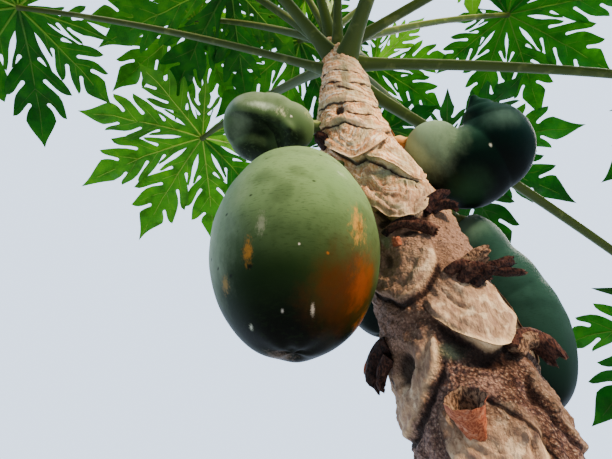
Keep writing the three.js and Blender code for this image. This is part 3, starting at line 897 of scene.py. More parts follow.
def scar_list():
    """Every scar on the trunk, those that show first and then the rest by the spiral."""
    scars = []
    for i, shown in enumerate(SHOWN_SCARS):
        rim = [(math.radians(a), z) for a, z in shown["rim"]]
        scars.append(new_scar(**{**shown, "rim": rim, "seed": NOISE_STEP * i}))
    for j in range(SCAR_COUNT):
        angle = SCAR_START + SPIRAL_STEP * j
        z = CROWN_FOOT - SCAR_STEP * (j + 1)
        front = (angle - SHOWN_SECTOR[0]) % TURN < SHOWN_SECTOR[1] - SHOWN_SECTOR[0]
        if front and SHOWN_HEIGHTS[0] < z < SHOWN_HEIGHTS[1]:
            continue
        age = (smooth(*OLD_HEIGHTS, z), smooth(*YOUNG_HEIGHTS, z))
        half = by_age(SCAR_HALF_WIDTH, *age) / plain_radius(z)
        tall = by_age(SCAR_HEIGHT, *age)
        rise = by_age(SCAR_RISE, *age) * tall
        lean = SCAR_LEAN * noise.noise(Vector((j * 3.1, 0.5, 0.5)))
        rim = []
        for k in range(-4, 5):
            u = k / 4
            rim.append((angle + (u + lean * (1 - u * u)) * half, z + rise * abs(u) ** SCAR_RIM_POWER))
        # Every third scar has a thin lifted edge.
        fold = 1.2 * (j % 3 == 0)
        scars.append(new_scar(
            rim, top=(z + tall, z + tall), relief=by_age(SCAR_RELIEF, *age), fold=fold, lift=0.7 * fold,
            ditch=by_age(SCAR_DITCH, *age), seed=NOISE_STEP * (j + 20),
        ))
    return scars


def rim_at(scar, share):
    """Height of a scar's rim at a share of its span, and how fast it rises there with the angle."""
    step = min(share * RIM_STEPS, RIM_STEPS - 1e-3)
    i = int(step)
    rise = scar.heights[i + 1] - scar.heights[i]
    return scar.heights[i] + rise * (step - i), rise * RIM_STEPS / scar.span


def read_scar(scar, angle, z, radius, wander):
    """What one scar does at a place: lift, scar, lip and shaded_groove shares, and its own grain, or None.
    """
    turned = (angle - scar.left) % TURN
    if turned > scar.span:
        return None
    rim, steep = rim_at(scar, turned / scar.span)
    top = mix(*scar.top, turned / scar.span)
    above = z + SCAR_WANDER * wander - rim
    if above < -2 * GRAIN_REACH or z > top:
        return None
    inside = above / math.hypot(1, steep / radius)
    ends = smooth(0, 7, min(turned, scar.span - turned) * radius)
    own = ((turned - scar.span / 2) * radius, inside, scar)
    # The groove's share also paints shade under the rim.
    shaded_groove = smooth(0.5, -3, inside) * (1 - smooth(-3, -scar.ditch - 1, inside)) * ends
    dip = -0.35 * scar.relief * shaded_groove
    if inside < -RIM_RAMP:
        return dip, 0.0, 0.0, shaded_groove, own
    up = max(0.0, above) / max(4.0, top - rim)
    strength = 1 - smooth(0, 1, up)
    flare = 0.7 + 0.3 * math.exp(-abs(inside) / 6)
    lift = scar.relief * strength * flare * smooth(-RIM_RAMP, RIM_RAMP, inside) * ends + dip
    # Painted light and shade: the shield and lip colours fade on the side away from the lamps.
    painted_side_light = mix(PAINTED_SHADE_PALENESS, 1, smooth(-0.2, 0.95, math.cos(angle - PAINTED_LIGHT_SIDE)))
    mask = smooth(-1, 2, inside) * (1 - 0.7 * smooth(0.3, 1, up)) * ends * min(1.0, scar.pale * painted_side_light)
    lip = smooth(-2.5, 0.5, inside) * (1 - smooth(1.5, 5, inside)) * ends * painted_side_light * min(1.0, scar.pale)
    return lift, mask, lip, shaded_groove, own


def blot(spots, angle, z, radius):
    """The strongest of the hollows or stains at a place, and how deep it is there."""
    share, depth = 0.0, 0.0
    for azimuth, middle, half_width, half_height, deep in spots:
        away = abs(z - middle) / half_height
        if away < BLOT_REACH:
            across = (angle - math.radians(azimuth) + math.pi) % TURN - math.pi
            here = 1 - smooth(0.3, BLOT_REACH, math.hypot(across * radius / half_width, away))
            share = max(share, here)
            depth = max(depth, here * deep)
    return share, depth


def bark_at(scars, angle, z):
    """Radius of the bark, the zones, the stain and the grain at a place."""
    radius = flared_radius(angle, z)
    spot = axis_at(z) + heading(angle) * radius
    wander = noise.noise(spot / 20)
    lift = dip = scar = lip = shaded_groove = 0.0
    nearest, grain, crumple = -GRAIN_REACH, (angle * radius, z, 0.0), 0.7
    for one in scars:
        found = read_scar(one, angle, z, radius, wander)
        if not found:
            continue
        raised, mask, rim, ditch, (along, inside, owner) = found
        wins = raised >= lift if inside > 0 else (scar == 0 and inside > nearest)
        if wins:
            grain = (along, inside, owner.seed)
            crumple = owner.crumple
            nearest = inside
            lip = rim
        lift = max(lift, raised)
        scar = max(scar, mask)
        dip = min(dip, raised)
        shaded_groove = max(shaded_groove, ditch)
    shaded_groove *= 1 - smooth(2, 4, lift)
    fade = smooth(*ROOT_FADE, z)
    folds = noise.noise(Vector((grain[0] / 22, grain[1] / 5, grain[2])))
    crumples = noise.turbulence(spot / 13, 4, False) - 0.5
    cork = noise.fractal(spot / 5, 0.8, 2.0, 3)
    creases = noise.noise(Vector((spot.x / 5, spot.y / 5, spot.z / 24 + grain[2])))
    shield = 0.6 * creases + crumple * (crumples + 1.2 * folds)
    rough = mix(1.2 * cork + 1.6 * folds + 2.6 * crumples, shield, scar)
    stain = hole = depth = 0.0
    if z > TRUNK_SEAM:
        stain = blot(STAINS, angle, z, radius)[0]
        hole, depth = blot(HOLLOWS, angle, z, radius)
    height = (lift + dip * (1 - scar)) * fade + rough - depth
    # The third zone is painted shade: the grooves under the rims and the deep part of the hollows.
    zone = (scar, lip * (1 - hole), max(shaded_groove * fade, hole * smooth(2, 6, depth)))
    return radius + height, zone, stain, grain


def nearby(scars, z):
    """The scars that can shape the bark at a height."""
    return [s for s in scars if s.low - GRAIN_REACH < z < max(s.top)]


def bark_layers(bm):
    """The point attributes that the bark's finish reads."""
    layers = bm.verts.layers
    return layers.float_vector.new("zones"), layers.float_vector.new("grain"), layers.float.new("stain")


def bark_bmesh(scars, bottom, top, rings):
    """A fine rod shaped by the bark's relief between two heights."""
    bm = bmesh.new()
    add_rod(bm, TRUNK_SIDES, rings, lambda t, angle: Vector((math.cos(angle), math.sin(angle), t)))
    zones, grains, stains = bark_layers(bm)
    near = {}
    for v in bm.verts:
        ring = round(v.co.z * rings)
        z = mix(bottom, top, ring / rings)
        if ring not in near:
            near[ring] = nearby(scars, z)
        angle = math.atan2(v.co.y, v.co.x)
        radius, v[zones], v[stains], v[grains] = bark_at(near[ring], angle, z)
        radius = mix(plain_radius(z), radius, smooth(TRUNK_HEIGHT, TRUNK_HEIGHT - 20, z))
        v.co = axis_at(z) + heading(angle) * radius
    return bm


def add_fold(bm, scars, scar):
    """The thin papery edge of one scar: rooted in the bark above its rim, and standing out below it."""
    sheet = bmesh.new()
    zones, grains, stains = bark_layers(sheet)
    bmesh.ops.create_grid(sheet, x_segments=FOLD_STEPS, y_segments=FOLD_RINGS, size=1)
    for v in sheet.verts:
        u, out = (v.co.x + 1) / 2, (v.co.y + 1) / 2
        z, steep = rim_at(scar, u)
        radius = plain_radius(z)
        slope = steep / radius
        length = math.hypot(1, slope)
        full = (4 * u * (1 - u)) ** 0.5
        along = u * scar.span * radius
        torn = 0.9 + 0.5 * noise.noise(Vector((along / 18, scar.seed, 0)))
        torn += 0.15 * noise.noise(Vector((along / 5, scar.seed, 5)))
        reach = mix(-FOLD_ROOT, scar.fold * torn * full, out)
        held = min(reach, -1.0)
        angle = scar.left + scar.span * u
        here = (angle + held * slope / length / radius, z - held / length)
        bark, zone, stain, grain = bark_at(nearby(scars, here[1]), *here)
        curl = scar.lift * (0.7 + 0.8 * torn) * full * out**2
        angle += reach * slope / length / radius
        z -= reach / length
        v.co = axis_at(z) + heading(angle) * (bark + curl - FOLD_THICKNESS * (1 - out))
        v[zones] = (zone[0], 0.8 * smooth(0.35, 0.9, out) * full, 0.0)
        v[grains] = (grain[0], -reach, grain[2])
        v[stains] = stain
    raised = bmesh.ops.extrude_face_region(sheet, geom=sheet.faces[:], use_keep_orig=True)["geom"]
    raised = {v for v in raised if isinstance(v, bmesh.types.BMVert)}
    for v in sheet.verts:
        if v in raised:
            away = v.co - axis_at(v.co.z)
            v.co += Vector((away.x, away.y, 0)).normalized() * FOLD_THICKNESS
        else:
            # Painted shade: the side of the edge that faces the bark takes the dark groove colour.
            v[zones] = (0.5, 0.0, 0.75)
    append(bm, sheet)


def folds_bmesh(scars):
    """The thin lifted rims of the scars that have one."""
    bm = bmesh.new()
    bark_layers(bm)
    for scar in scars:
        if scar.fold:
            add_fold(bm, scars, scar)
    return bm


def bark_spot(angle, z, out):
    return axis_at(z) + heading(math.radians(angle)) * (plain_radius(z) + out)


def add_husk(bm, rng, spots, radii, hollow, tone, ragged=1.0):
    """One dried stalk along three spots: shrunken and ribbed, open at its end where it is hollow."""
    start, middle, end = (bark_spot(*spot) for spot in spots)
    offset = Vector((rng.random() * 50, rng.random() * 50, rng.random() * 50))
    brim = 1 / (1 + hollow)

    def rule(t, turn):
        along = min(1.0, t / brim) if t <= brim else 1 - (t - brim) / (1 - brim) * hollow
        around = Vector((math.cos(turn) * 1.5, math.sin(turn) * 1.5, 0))
        torn = 0.16 * noise.noise(around + offset) + 0.1 * noise.noise(around * 3 + offset)
        along = max(0.0, along + ragged * torn * smooth(0.6, 1, along))
        place, way = curve_at(start, middle, end, along)
        wide = mix(*radii, along)
        wide *= 1 + 0.22 * ragged * noise.noise(around * 1.4 + Vector((0, 0, along * 4)) + offset)
        wide *= 1 + 0.07 * ragged * math.cos(turn * 9 + offset.x)
        if t > brim:
            wide = max(0.5, wide - HUSK_WALL * smooth(brim, brim + 0.06, t))
            wide *= mix(1, 0.7, (t - brim) / (1 - brim))
        elif not hollow:
            wide *= math.sqrt(max(0.02, 1 - smooth(0.8, 1, t) ** 2))
        return round_at(place, way, turn, wide, 0.85 * wide)

    inner = TAN if tone == ORANGE else tone
    add_rod(bm, HUSK_SIDES, HUSK_RINGS, rule, lambda t: inner if t > brim else tone)


def husks_bmesh():
    bm = bmesh.new()
    rng = random.Random(SEED)
    for husk in SHOWN_HUSKS:
        add_husk(bm, rng, *husk)
    for i in range(LOWER_STUMPS):
        angle = math.degrees(SPIRAL_STEP * i)
        z = LOWER_STUMP_TOP - LOWER_STUMP_STEP * i
        add_husk(bm, rng, [(angle, z, -4), (angle, z + 4, 12), (angle + 4, z - 8, 20)], (10, 8), 0.6, TAN)
        for _ in range(SHREDS):
            turned, fallen = angle + rng.uniform(-9, 9), z + rng.uniform(-12, 8)
            spots = [(angle, (z + fallen) / 2, -2), (turned, fallen, 9), (turned, fallen - 8, 17)]
            tone = rng.choice((DARK, RUSSET))
            add_husk(bm, rng, spots, (5, 2.5), 0, tone)
    return bm


# Leaves


def leaf_of(i):
    """Where one leaf sits, how it rises and how large it is, from its place in the spiral."""
    place = i / (LEAF_COUNT - 1)
    youth = place**YOUTH_POWER
    ruled = (0, mix(OLD_RISE, YOUNG_RISE, place), STALK_LENGTH, 1)
    turn, rise, length, stoutness = OWN_LEAVES.get(i, ruled)
    leaf = SimpleNamespace(
        number=i + 1,
        azimuth=LEAF_START + SPIRAL_STEP * i + math.radians(turn),
        rise=math.radians(rise),
        length=length * mix(1, YOUNG_STALK_SHARE, youth),
        radius=BLADE_RADIUS * mix(1, YOUNG_BLADE_SHARE, youth),
        thickness=stoutness * mix(1, YOUNG_THICKNESS_SHARE, youth),
        foot=CROWN_FOOT + LEAF_STEP * i,
    )
    leaf.start = axis_at(leaf.foot)
    leaf.end = leaf.start + heading(leaf.azimuth, leaf.rise) * leaf.length
    leaf.middle = leaf.start.lerp(leaf.end, 0.5) + Vector((0, 0, 2 * STALK_ARCH * leaf.length))
    low = LOW_LEAF_TILT * max(0.0, LEVEL_RISE - leaf.rise)
    steep = STEEP_LEAF_TILT * max(0.0, leaf.rise - STEEP_RISE)
    leaf.out = heading(leaf.azimuth, -(BLADE_TILT + low + steep))
    leaf.side = heading(leaf.azimuth + TURN / 4)
    leaf.normal = leaf.out.cross(leaf.side)
    leaf.hub = leaf.end + leaf.normal * (SOURCE_BLADE_THICKNESS / 2 + SOURCE_CLEARANCE)
    return leaf


def stalk_bmesh(leaf):
    """A tapering stalk that widens where it clasps the trunk and swells a little under the blade."""
    bm = bmesh.new()
    begin = max(0.0, plain_radius(leaf.foot) - 8) / leaf.length

    def rule(t, turn):
        along = mix(begin, 1, t)
        place, way = curve_at(leaf.start, leaf.middle, leaf.end, along)
        free = max(0.0, along * leaf.length - plain_radius(leaf.foot))
        clasp = STALK_CLASP * math.exp(-free / STALK_CLASP_LENGTH)
        swell = 1.2 * math.exp(-(1 - along) * leaf.length / 9)
        radius = (mix(STALK_BASE_RADIUS, STALK_TIP_RADIUS, along) + swell) * leaf.thickness
        radius *= 1 + 0.03 * math.cos(7 * turn)
        wide = radius + 1.35 * clasp * leaf.thickness
        tall = radius + 0.8 * clasp * leaf.thickness
        return round_at(place, way, turn, wide, tall)

    add_rod(bm, STALK_SIDES, STALK_RINGS, rule)
    return bm


def edge_curve(start, aim, far_aim, end):
    """Points from start up to end, without the last, on a curve that leaves and arrives by two aims."""
    return interpolate_bezier(start, start + aim, end - far_aim, end, EDGE_POINTS)[:-1]


def half_outline(reach, side_lobes, rng):
    """One side of a lobe, from its foot to its tip: finger-like side lobes with rounded notches between."""
    half_spread = LOBE_SPREAD / 2
    start = Vector((SINUS_REACH * math.cos(half_spread), SINUS_REACH * math.sin(half_spread)))
    slot = Vector((math.cos(NOTCH_AIM), math.sin(NOTCH_AIM)))
    beside = Vector((-slot.y, slot.x)) * NOTCH_HALF_WIDTH
    points, veins = [], []
    leave = Vector((0.5, 0.02))
    for root, tip, notch in side_lobes:
        tip = Vector(tip) * reach + Vector((rng.uniform(-1, 1), rng.uniform(-1, 0.5))) * TIP_WANDER
        notch = Vector(notch) * reach + Vector((rng.uniform(-1, 1), rng.uniform(-0.4, 0.4))) * TIP_WANDER
        length = (tip - start).length
        points += edge_curve(start, leave * length, Vector((0.4, 0.08)) * length, tip)
        inner = notch + beside
        back = (inner - tip).length
        points += edge_curve(tip, Vector((0.02, -0.34)) * back, -slot * 0.35 * back, inner)
        corner = -slot * NOTCH_HALF_WIDTH
        points += [inner, notch + (beside + corner) * 0.7, notch + corner, notch + (corner - beside) * 0.7]
        start = notch - beside
        leave = slot * 0.55
        veins.append((root * reach, tip))
    shoulder, end = Vector(SPEAR_SHOULDER) * reach, Vector((reach, 0))
    if len(side_lobes) == REAR_SIDE_LOBES:
        shoulder = start.lerp(end, 0.3) + Vector((0, 0.05)) * reach
    length = (shoulder - start).length
    points += edge_curve(start, slot * 0.3 * length, Vector((0.4, 0.05)) * length, shoulder)
    length = (end - shoulder).length
    points += edge_curve(shoulder, Vector((0.3, -0.14)) * length, Vector((0.4, -0.12)) * length, end)
    return points, veins


def cut(bm, faces, point, normal):
    """Cuts faces along a plane."""
    edges = {e for f in faces for e in f.edges}
    verts = {v for f in faces for v in f.verts}
    geometry = list(verts) + list(edges) + list(faces)
    bmesh.ops.bisect_plane(bm, geom=geometry, dist=1e-5, plane_co=point, plane_no=normal)


def lobe_form(k, rng):
    """One flat lobe with its rib along X: its cut sheet, and the veins as start, end and root radius."""
    reach = LOBE_REACH[abs(k)]
    rear = abs(k) == len(LOBE_REACH) - 1
    steps = SIDE_LOBES[:REAR_SIDE_LOBES] if rear else SIDE_LOBES
    left, left_veins = half_outline(reach, steps, rng)
    right, right_veins = half_outline(reach, steps, rng)
    mirror = Vector((1, -1))
    outline = [Vector((0, 0))] + [p * mirror for p in right] + [Vector((reach, 0))] + left[::-1]
    if rear:
        turned = Matrix.Rotation(-k * LOBE_SPREAD, 2) @ Vector((-HEEL_REACH, 0))
        outline.insert(1 if k < 0 else len(outline), turned)
    bm = bmesh.new()
    bm.faces.new([bm.verts.new((p.x, p.y, 0)) for p in outline])
    cut(bm, bm.faces[:], (0, 0, 0), (0, 1, 0))
    for i in range(1, CROSS_CUTS):
        cut(bm, bm.faces[:], (i * reach / CROSS_CUTS, 0, 0), (1, 0, 0))
    veins = [(Vector((0, 0)), Vector((reach, 0)), RIB_RADIUS)]
    for side, tips in ((1, left_veins), (-1, right_veins)):
        for root, tip in tips:
            start, end = Vector((root, 0)), Vector((tip.x, side * tip.y))
            way = end - start
            near = [f for f in bm.faces if side * f.calc_center_median().y > 0]
            near = [f for f in near if root - 0.05 < f.calc_center_median().x < tip.x + 0.03]
            cut(bm, near, (start.x, start.y, 0), (-way.y, way.x, 0))
            veins.append((start, start.lerp(end, 0.97), VEIN_RADIUS))
    bmesh.ops.triangulate(bm, faces=bm.faces)
    return bm, veins


def bend(leaf, k, x, y, hang):
    """A lobe's flat point carried to its place on the drooping, folded blade of one leaf."""
    turned = Matrix.Rotation(k * LOBE_SPREAD, 2) @ Vector((x, y))
    reach = math.hypot(x, y)
    free = max(0.0, reach - SINUS_REACH)
    lift = LOBE_FOLD * abs(y) - BLADE_DROOP * reach * reach - hang * free * free
    lift += RIPPLE * math.sin(22 * reach + 3 * k) * smooth(0, 0.5, free)
    lift += LOBE_STAGGER * (1 if k % 2 else -1) * smooth(0.05, 0.3, free)
    flat = leaf.out * turned.x + leaf.side * turned.y
    return leaf.hub + (flat + leaf.normal * lift) * leaf.radius


def lobe_hangs(rng):
    """The numbers of a blade's lobes, from -4 to 4, each with how far it sags."""
    last = len(LOBE_REACH) - 1
    return [(k, LOBE_SAG * rng.uniform(0.2, 2.4)) for k in range(-last, last + 1)]


def blade_bmesh(leaf, forms, hangs, shades, thickness):
    """One leaf's blade: nine lobes bent to their place, welded at their feet and given a thickness."""
    bm = bmesh.new()
    for (k, hang), shade in zip(hangs, shades):
        lobe = forms[k][0].copy()
        for face in lobe.faces:
            face.material_index = shade
        for v in lobe.verts:
            v.co = bend(leaf, k, v.co.x, v.co.y, hang)
        append(bm, lobe)
    bmesh.ops.remove_doubles(bm, verts=bm.verts, dist=0.02)
    upper = bmesh.ops.extrude_face_region(bm, geom=bm.faces[:], use_keep_orig=True)["geom"]
    raised = [v for v in upper if isinstance(v, bmesh.types.BMVert)]
    bmesh.ops.translate(bm, vec=leaf.normal * thickness, verts=raised)
    return bm


def add_veins(bm, leaf, forms, hangs, shades):
    """The ribs and side veins under one blade, each a thin tapering rod that stands out below it."""
    for (k, hang), shade in zip(hangs, shades):
        for start, end, radius in forms[k][1]:
            rings = RIB_RINGS if radius == RIB_RADIUS else VEIN_RINGS

            def rule(t, turn, start=start, end=end, radius=radius, k=k, hang=hang):
                flat = start.lerp(end, t)
                wide = mix(radius, 0.12 * radius, t) * leaf.radius
                across = Vector((start.y - end.y, end.x - start.x)).normalized()
                flat = flat + across * (wide * math.cos(turn) / leaf.radius)
                place = bend(leaf, k, flat.x, flat.y, hang)
                return place + leaf.normal * wide * (0.9 * math.sin(turn) - 0.5)

            add_rod(bm, VEIN_SIDES, rings, rule, lambda t, shade=shade: shade)


# Growing tip and fruits


def heart_bmesh():
    bm = bmesh.new()
    base = axis_at(TRUNK_HEIGHT - HEART_SUNK)
    for i in range(HEART_LEAVES):
        azimuth = LEAF_START + SPIRAL_STEP * (LEAF_COUNT + i)
        lean = HEART_SPREAD * (1 - i / HEART_LEAVES)
        way = heading(azimuth, TURN / 4 - lean)

        def rule(t, turn, way=way):
            furled = HEART_RADIUS * (1 - HEART_TAPER * t) * (1 + HEART_SWELL * math.sin(math.pi * t))
            furled *= 1 + 0.16 * math.cos(5 * turn + 6 * t) * smooth(0.2, 0.5, t)
            return round_at(base + way * HEART_LENGTH * t, way, turn, furled, furled)

        add_rod(bm, HEART_SIDES, HEART_RINGS, rule)
    return bm


def body_reach(direction, at, half):
    """How far a ray from the fruit's centre runs before it leaves one rounded body."""
    d = Vector((direction.x / half[0], direction.y / half[1], direction.z / half[2]))
    o = Vector((-at[0] / half[0], -at[1] / half[1], -at[2] / half[2]))
    b = o.dot(d)
    inside = b * b - d.length_squared * (o.length_squared - 1)
    return 0.0 if inside <= 0 else (-b + math.sqrt(inside)) / d.length_squared


def blended_reach(direction, bodies):
    reaches = [body_reach(direction, at, half) for at, half in bodies]
    furthest = max(reaches)
    total = sum(math.exp((r - furthest) / FRUIT_BLEND) for r in reaches)
    return furthest + FRUIT_FILL * FRUIT_BLEND * math.log(total)


def on_skin(fruit, place):
    """The point of the fruit's skin straight out from its middle through a place."""
    centre = Vector(fruit["centre"])
    way = (Vector(place) - centre).normalized()
    return centre + way * blended_reach(way, fruit["bodies"])


def crease_lift(offset):
    """The small fruit's crease: a fold that bulges over a hollow, and the beak at its end."""
    right, up = offset.dot(FACE_RIGHT), offset.dot(FACE_UP)
    facing = smooth(0, 0.5, offset.normalized().dot(FACE_OUT))
    line = CREASE[0][1]
    for (r0, u0), (r1, u1) in zip(CREASE, CREASE[1:]):
        if right > r0:
            line = mix(u0, u1, min(1.0, (right - r0) / (r1 - r0)))
    above = up - line
    along = smooth(-48, -30, right) * (1 - smooth(14, 24, right))
    bulge = CREASE_BULGE * bell((above - 7) / 9)
    hollow = CREASE_DEPTH * smooth(1, -4, above) * (1 - smooth(-10, -36, above))
    beak = BEAK_HEIGHT * bell(math.hypot(right - BEAK_SPOT[0], up - BEAK_SPOT[1]) / 7)
    return facing * (along * (bulge - hollow) + beak)


def fruit_bmesh(index):
    bm = bmesh.new()
    fruit = FRUITS[index]
    centre = Vector(fruit["centre"])
    pointed = index in POINTED_FRUITS
    bmesh.ops.create_uvsphere(bm, u_segments=FRUIT_SIDES, v_segments=FRUIT_RINGS, radius=1)
    for v in bm.verts:
        direction = v.co.normalized()
        reach = blended_reach(direction, fruit["bodies"])
        angle = math.atan2(direction.y, direction.x)
        ends = smooth(0.35, 1, abs(direction.z))
        if not pointed:
            reach *= 1 + FRUIT_RIB_SHARE * math.cos(FRUIT_RIBS * angle + centre.x) * ends
            reach -= FRUIT_DIMPLE * bell((1 + direction.z) / 0.004)
        reach += FRUIT_UNEVEN * noise.noise((centre + direction * 70) / 22)
        if index == CREASED_FRUIT:
            reach += crease_lift(direction * reach)
        v.co = centre + direction * reach
    return bm


def fruit_stalk_bmesh(fruit):
    bm = bmesh.new()
    foot, over, to = fruit["stalk"]
    start, middle, end = axis_at(foot), Vector(over), Vector(to)
    inward = (end - Vector(fruit["centre"])).normalized()

    def rule(t, turn):
        place, way = curve_at(start, middle, end, mix(0.2, 1, t))
        radius = FRUIT_STALK_RADIUS * (1 + 0.3 * bell((t - 1) / 0.1))
        radius *= 1 + 0.28 * noise.noise(place / 8 + Vector((math.cos(turn), math.sin(turn), 0)))
        sunk = inward * -5 * smooth(0.9, 1, t)
        return round_at(place + sunk, way, turn, radius, radius)

    add_rod(bm, FRUIT_STALK_SIDES, FRUIT_STALK_RINGS, rule)
    return bm


# Settings that a user would change


class PapayaTrunkSettings(PropertyGroup):
    grain_depth: FloatProperty(
        name="Grain Depth",
        description="Depth of the cork grain and fibres in the bark's finish",
        default=0.003, min=0, subtype="DISTANCE", unit="LENGTH",
    )


class PapayaLeafSettings(PropertyGroup):
    thickness: FloatProperty(
        name="Blade Thickness",
        description="Thickness of a leaf blade in millimetres",
        default=0.9, min=0.3,
    )
    light_through: FloatProperty(
        name="Light Through",
        description="Share of the light that passes through a blade",
        default=0.45, min=0, max=1, subtype="FACTOR",
    )


class PapayaFruitSettings(PropertyGroup):
    bloom_and_painted_light: FloatProperty(
        name="Bloom",
        description="How strongly the pale waxy bloom shows on top of the fruits",
        default=0.8, min=0, max=1, subtype="FACTOR",
    )


class PapayaStageSettings(PropertyGroup):
    floor_colour: FloatVectorProperty(
        name="Floor Colour",
        description="Colour of the plain floor",
        default=linear("#b9b8b4")[:3], min=0, max=1, size=3, subtype="COLOR",
    )
    lamp_power: FloatProperty(
        name="Lamp Power",
        description="Power of the large soft lamp above the crown",
        default=200, min=0, subtype="POWER", unit="POWER",
    )


# Operators


class PAPAYA_OT_trunk(Operator):
    """Build the trunk with its leaf scars, their lifted rims, grooves and cork"""

    bl_idname = "papaya.trunk"
    bl_label = "Trunk"

    def execute(self, context):
        bark = [bark_material(context.scene.papaya_trunk)]
        scars = scar_list()
        add_piece(bark_bmesh(scars, 0, TRUNK_SEAM, LOWER_RINGS), "lower_bark", bark, ["trunk"])
        upper = bark_bmesh(scars, TRUNK_SEAM, TRUNK_HEIGHT, UPPER_RINGS)
        add_piece(upper, "upper_bark", bark, ["trunk"])
        add_piece(folds_bmesh(scars), "scar_rims", bark, ["trunk"])
        return {"FINISHED"}


class PAPAYA_OT_husks(Operator):
    """Build the dried flower stalks and the torn stubs on the trunk"""

    bl_idname = "papaya.husks"
    bl_label = "Dried Stalks"

    def execute(self, context):
        husks = [husk_material(*skin) for skin in HUSK_SKINS]
        add_piece(husks_bmesh(), "dried_stalks", husks, ["trunk"])
        return {"FINISHED"}


class PAPAYA_OT_stalks(Operator):
    """Build the leaf stalks"""

    bl_idname = "papaya.stalks"
    bl_label = "Leaf Stalks"

    def execute(self, context):
        skin = stalk_material("waxy leaf stalk skin", "#a3ad62", "#304012")
        for i in range(LEAF_COUNT):
            leaf = leaf_of(i)
            node = f"leaf_stalk_{leaf.number:02d}"
            add_piece(stalk_bmesh(leaf), f"stalk_{leaf.number:02d}", [skin], [node])
        return {"FINISHED"}


class PAPAYA_OT_blades(Operator):
    """Build the leaf blades and their ribs and veins"""

    bl_idname = "papaya.blades"
    bl_label = "Leaf Blades"

    def execute(self, context):
        settings = context.scene.papaya_leaf
        rng = random.Random(SEED)
        last = len(LOBE_REACH) - 1
        forms = [{k: lobe_form(k, rng) for k in range(-last, last + 1)} for _ in range(BLADE_FORMS)]
        blades, veins = bmesh.new(), bmesh.new()
        for i in range(LEAF_COUNT):
            leaf = leaf_of(i)
            form = forms[i % BLADE_FORMS]
            hangs = lobe_hangs(rng)
            tones = [LEAF_SHADES[i] + rng.choice(LOBE_SHADE_STEPS) for _ in hangs]
            shades = [min(len(LEAF_COLOURS) - 1, max(0, tone)) for tone in tones]
            append(blades, blade_bmesh(leaf, form, hangs, shades, settings.thickness))
            add_veins(veins, leaf, form, hangs, shades)
        for form in forms:
            for sheet, _ in form.values():
                sheet.free()
        through = settings.light_through
        nodes = [f"leaf_blade_{i + 1:02d}" for i in range(LEAF_COUNT)]
        faces = [leaf_material(name, face, glow, through) for name, face, glow, _ in LEAF_COLOURS]
        ribs = [leaf_material(f"{name} rib", rib, rib, through / 2) for name, _, _, rib in LEAF_COLOURS]
        add_piece(blades, "leaf_blades", faces, nodes)
        add_piece(veins, "leaf_ribs", ribs, nodes)
        return {"FINISHED"}


class PAPAYA_OT_growing_tip(Operator):
    """Build the furled leaves at the growing tip"""

    bl_idname = "papaya.growing_tip"
    bl_label = "Growing Tip"

    def execute(self, context):
        young = stalk_material("furled young leaf", "#a9c164", "#6f8f3f")
        add_piece(heart_bmesh(), "furled_leaves", [young], ["growing_tip"])
        return {"FINISHED"}


class PAPAYA_OT_fruits(Operator):
    """Build the fruits and their stalks"""

    bl_idname = "papaya.fruits"
    bl_label = "Fruits"

    def execute(self, context):
        settings = context.scene.papaya_fruit
        skins = [fruit_material(fruit, settings, *skin) for fruit, skin in zip(FRUITS, FRUIT_SKINS)]
        green_stalk = stalk_material("green fruit stalk skin", "#9aa45e", "#3c4c28")
        yellow_stalk = stalk_material("yellowing fruit stalk skin", "#dcb66c", "#a8743a")
        for i, fruit in enumerate(FRUITS):
            skin = skins[min(i, len(skins) - 1)]
            stalk_skin = yellow_stalk if i == YELLOW_STALK_FRUIT else green_stalk
            add_piece(fruit_bmesh(i), f"papaya_{i + 1}", [skin], [f"fruit_{i + 1}"])
            node = f"fruit_stalk_{i + 1}"
            add_piece(fruit_stalk_bmesh(fruit), f"papaya_stalk_{i + 1}", [stalk_skin], [node])
        return {"FINISHED"}


def add_lamp(name, place, target, size, power, colour):
    data = bpy.data.lights.new(name, "AREA")
    data.shape = "DISK"
    data.size = size
    data.energy = power
    data.color = linear(colour)[:3]
    lamp = bpy.data.objects.new(name, data)
    lamp.location = place
    lamp.rotation_euler = (Vector(target) - Vector(place)).to_track_quat("-Z", "Y").to_euler()
    bpy.context.scene.collection.objects.link(lamp)
    return lamp


def floor_material(colour):
    """Plain matt paint on a studio floor, with a faint grain so that it isn't dead flat."""
    material, tree, place = new_material("matt floor paint")
    grain = add_node(tree, "ShaderNodeTexNoise", {"Vector": place, "Scale": 1 / (6 * MM)})["Fac"]
    finish_skin(tree, (*colour, 1), grain, 0.1, 0.5 * MM, 0.9, 0.5)
    return material


def set_sky():
    """A plain pale surround: a bright backdrop above and behind the tree, dimmer in front and below."""
    world = bpy.data.worlds.new("pale surround")
    world.use_nodes = True
    tree = world.node_tree
    tree.nodes.clear()
    way = add_node(tree, "ShaderNodeTexCoord")["Generated"]
    facing = add_node(
        tree, "ShaderNodeVectorMath", {0: way, 1: BACKDROP_WAY}, operation="DOT_PRODUCT"
    )["Value"]
    colour = lay_colours(tree, linear("#55585a"), [("#cfe2fb", facing, -0.6, 0.35, 1.0)])
    back = add_node(tree, "ShaderNodeBackground", {"Color": colour, "Strength": SKY_STRENGTH})[0]
    add_node(tree, "ShaderNodeOutputWorld", {"Surface": back})
    bpy.context.scene.world = world


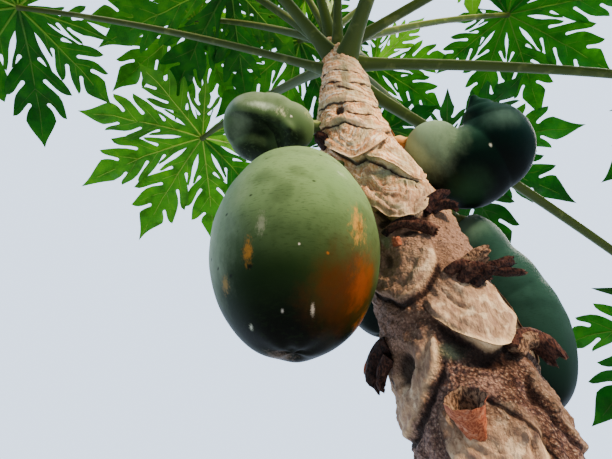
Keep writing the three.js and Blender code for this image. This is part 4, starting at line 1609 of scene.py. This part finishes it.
class PAPAYA_OT_stage(Operator):
    """Set up the plain floor, the soft lamps, the pale surround and the camera"""

    bl_idname = "papaya.stage"
    bl_label = "Stage"

    def execute(self, context):
        settings = context.scene.papaya_stage
        bm = bmesh.new()
        bmesh.ops.create_circle(bm, cap_ends=True, segments=96, radius=FLOOR_RADIUS)
        mesh = bpy.data.meshes.new("floor")
        bm.to_mesh(mesh)
        bm.free()
        mesh.materials.append(floor_material(settings.floor_colour))
        floor = bpy.data.objects.new("floor", mesh)
        floor.location.z = -FLOOR_GAP
        context.scene.collection.objects.link(floor)
        set_sky()
        crown, bole = (-0.3, 0, 1.9), (-0.18, 0, 1.6)
        power = settings.lamp_power
        add_lamp("soft lamp above", (1.4, 1.6, 4.6), crown, 2.6, power, "#fff4e2")
        warm = add_lamp("warm lamp at the right", (0.8, -1.2, 2.5), bole, 0.35, power * 0.5, "#ffe6c4")
        # The small lamp would otherwise leave a round brown glint on the dark fruit skins.
        warm.visible_glossy = False
        data = bpy.data.cameras.new("camera")
        data.sensor_width = CAMERA_SENSOR
        data.lens = PICTURE_FOCAL / PICTURE_WIDTH * CAMERA_SENSOR
        data.clip_start = 0.02
        camera = bpy.data.objects.new("camera", data)
        camera.location = CAMERA_PLACE
        camera.rotation_euler = (math.radians(90) + CAMERA_PITCH, 0, 0)
        context.scene.collection.objects.link(camera)
        context.scene.camera = camera
        return {"FINISHED"}


class PAPAYA_PT_panel(Panel):
    bl_idname = "PAPAYA_PT_panel"
    bl_label = "Papaya Tree"
    bl_space_type = "VIEW_3D"
    bl_region_type = "UI"
    bl_category = "Papaya Tree"

    def draw(self, context):
        layout = self.layout
        for group in ("papaya_trunk", "papaya_leaf", "papaya_fruit", "papaya_stage"):
            settings = getattr(context.scene, group)
            box = layout.box()
            for name in settings.__annotations__:
                box.prop(settings, name)
        for operator in OPERATORS:
            layout.operator(operator.bl_idname)


SETTINGS = {
    "papaya_trunk": PapayaTrunkSettings,
    "papaya_leaf": PapayaLeafSettings,
    "papaya_fruit": PapayaFruitSettings,
    "papaya_stage": PapayaStageSettings,
}
OPERATORS = [
    PAPAYA_OT_trunk,
    PAPAYA_OT_husks,
    PAPAYA_OT_stalks,
    PAPAYA_OT_blades,
    PAPAYA_OT_growing_tip,
    PAPAYA_OT_fruits,
    PAPAYA_OT_stage,
]


def register():
    for cls in [*SETTINGS.values(), *OPERATORS, PAPAYA_PT_panel]:
        bpy.utils.register_class(cls)
    for name, cls in SETTINGS.items():
        setattr(bpy.types.Scene, name, PointerProperty(type=cls))


def unregister():
    for name in SETTINGS:
        delattr(bpy.types.Scene, name)
    for cls in [PAPAYA_PT_panel, *reversed(OPERATORS), *SETTINGS.values()]:
        bpy.utils.unregister_class(cls)


def main():
    register()
    bpy.ops.papaya.trunk()
    bpy.ops.papaya.husks()
    bpy.ops.papaya.stalks()
    bpy.ops.papaya.blades()
    bpy.ops.papaya.growing_tip()
    bpy.ops.papaya.fruits()
    bpy.ops.papaya.stage()


if __name__ == "__main__":
    main()
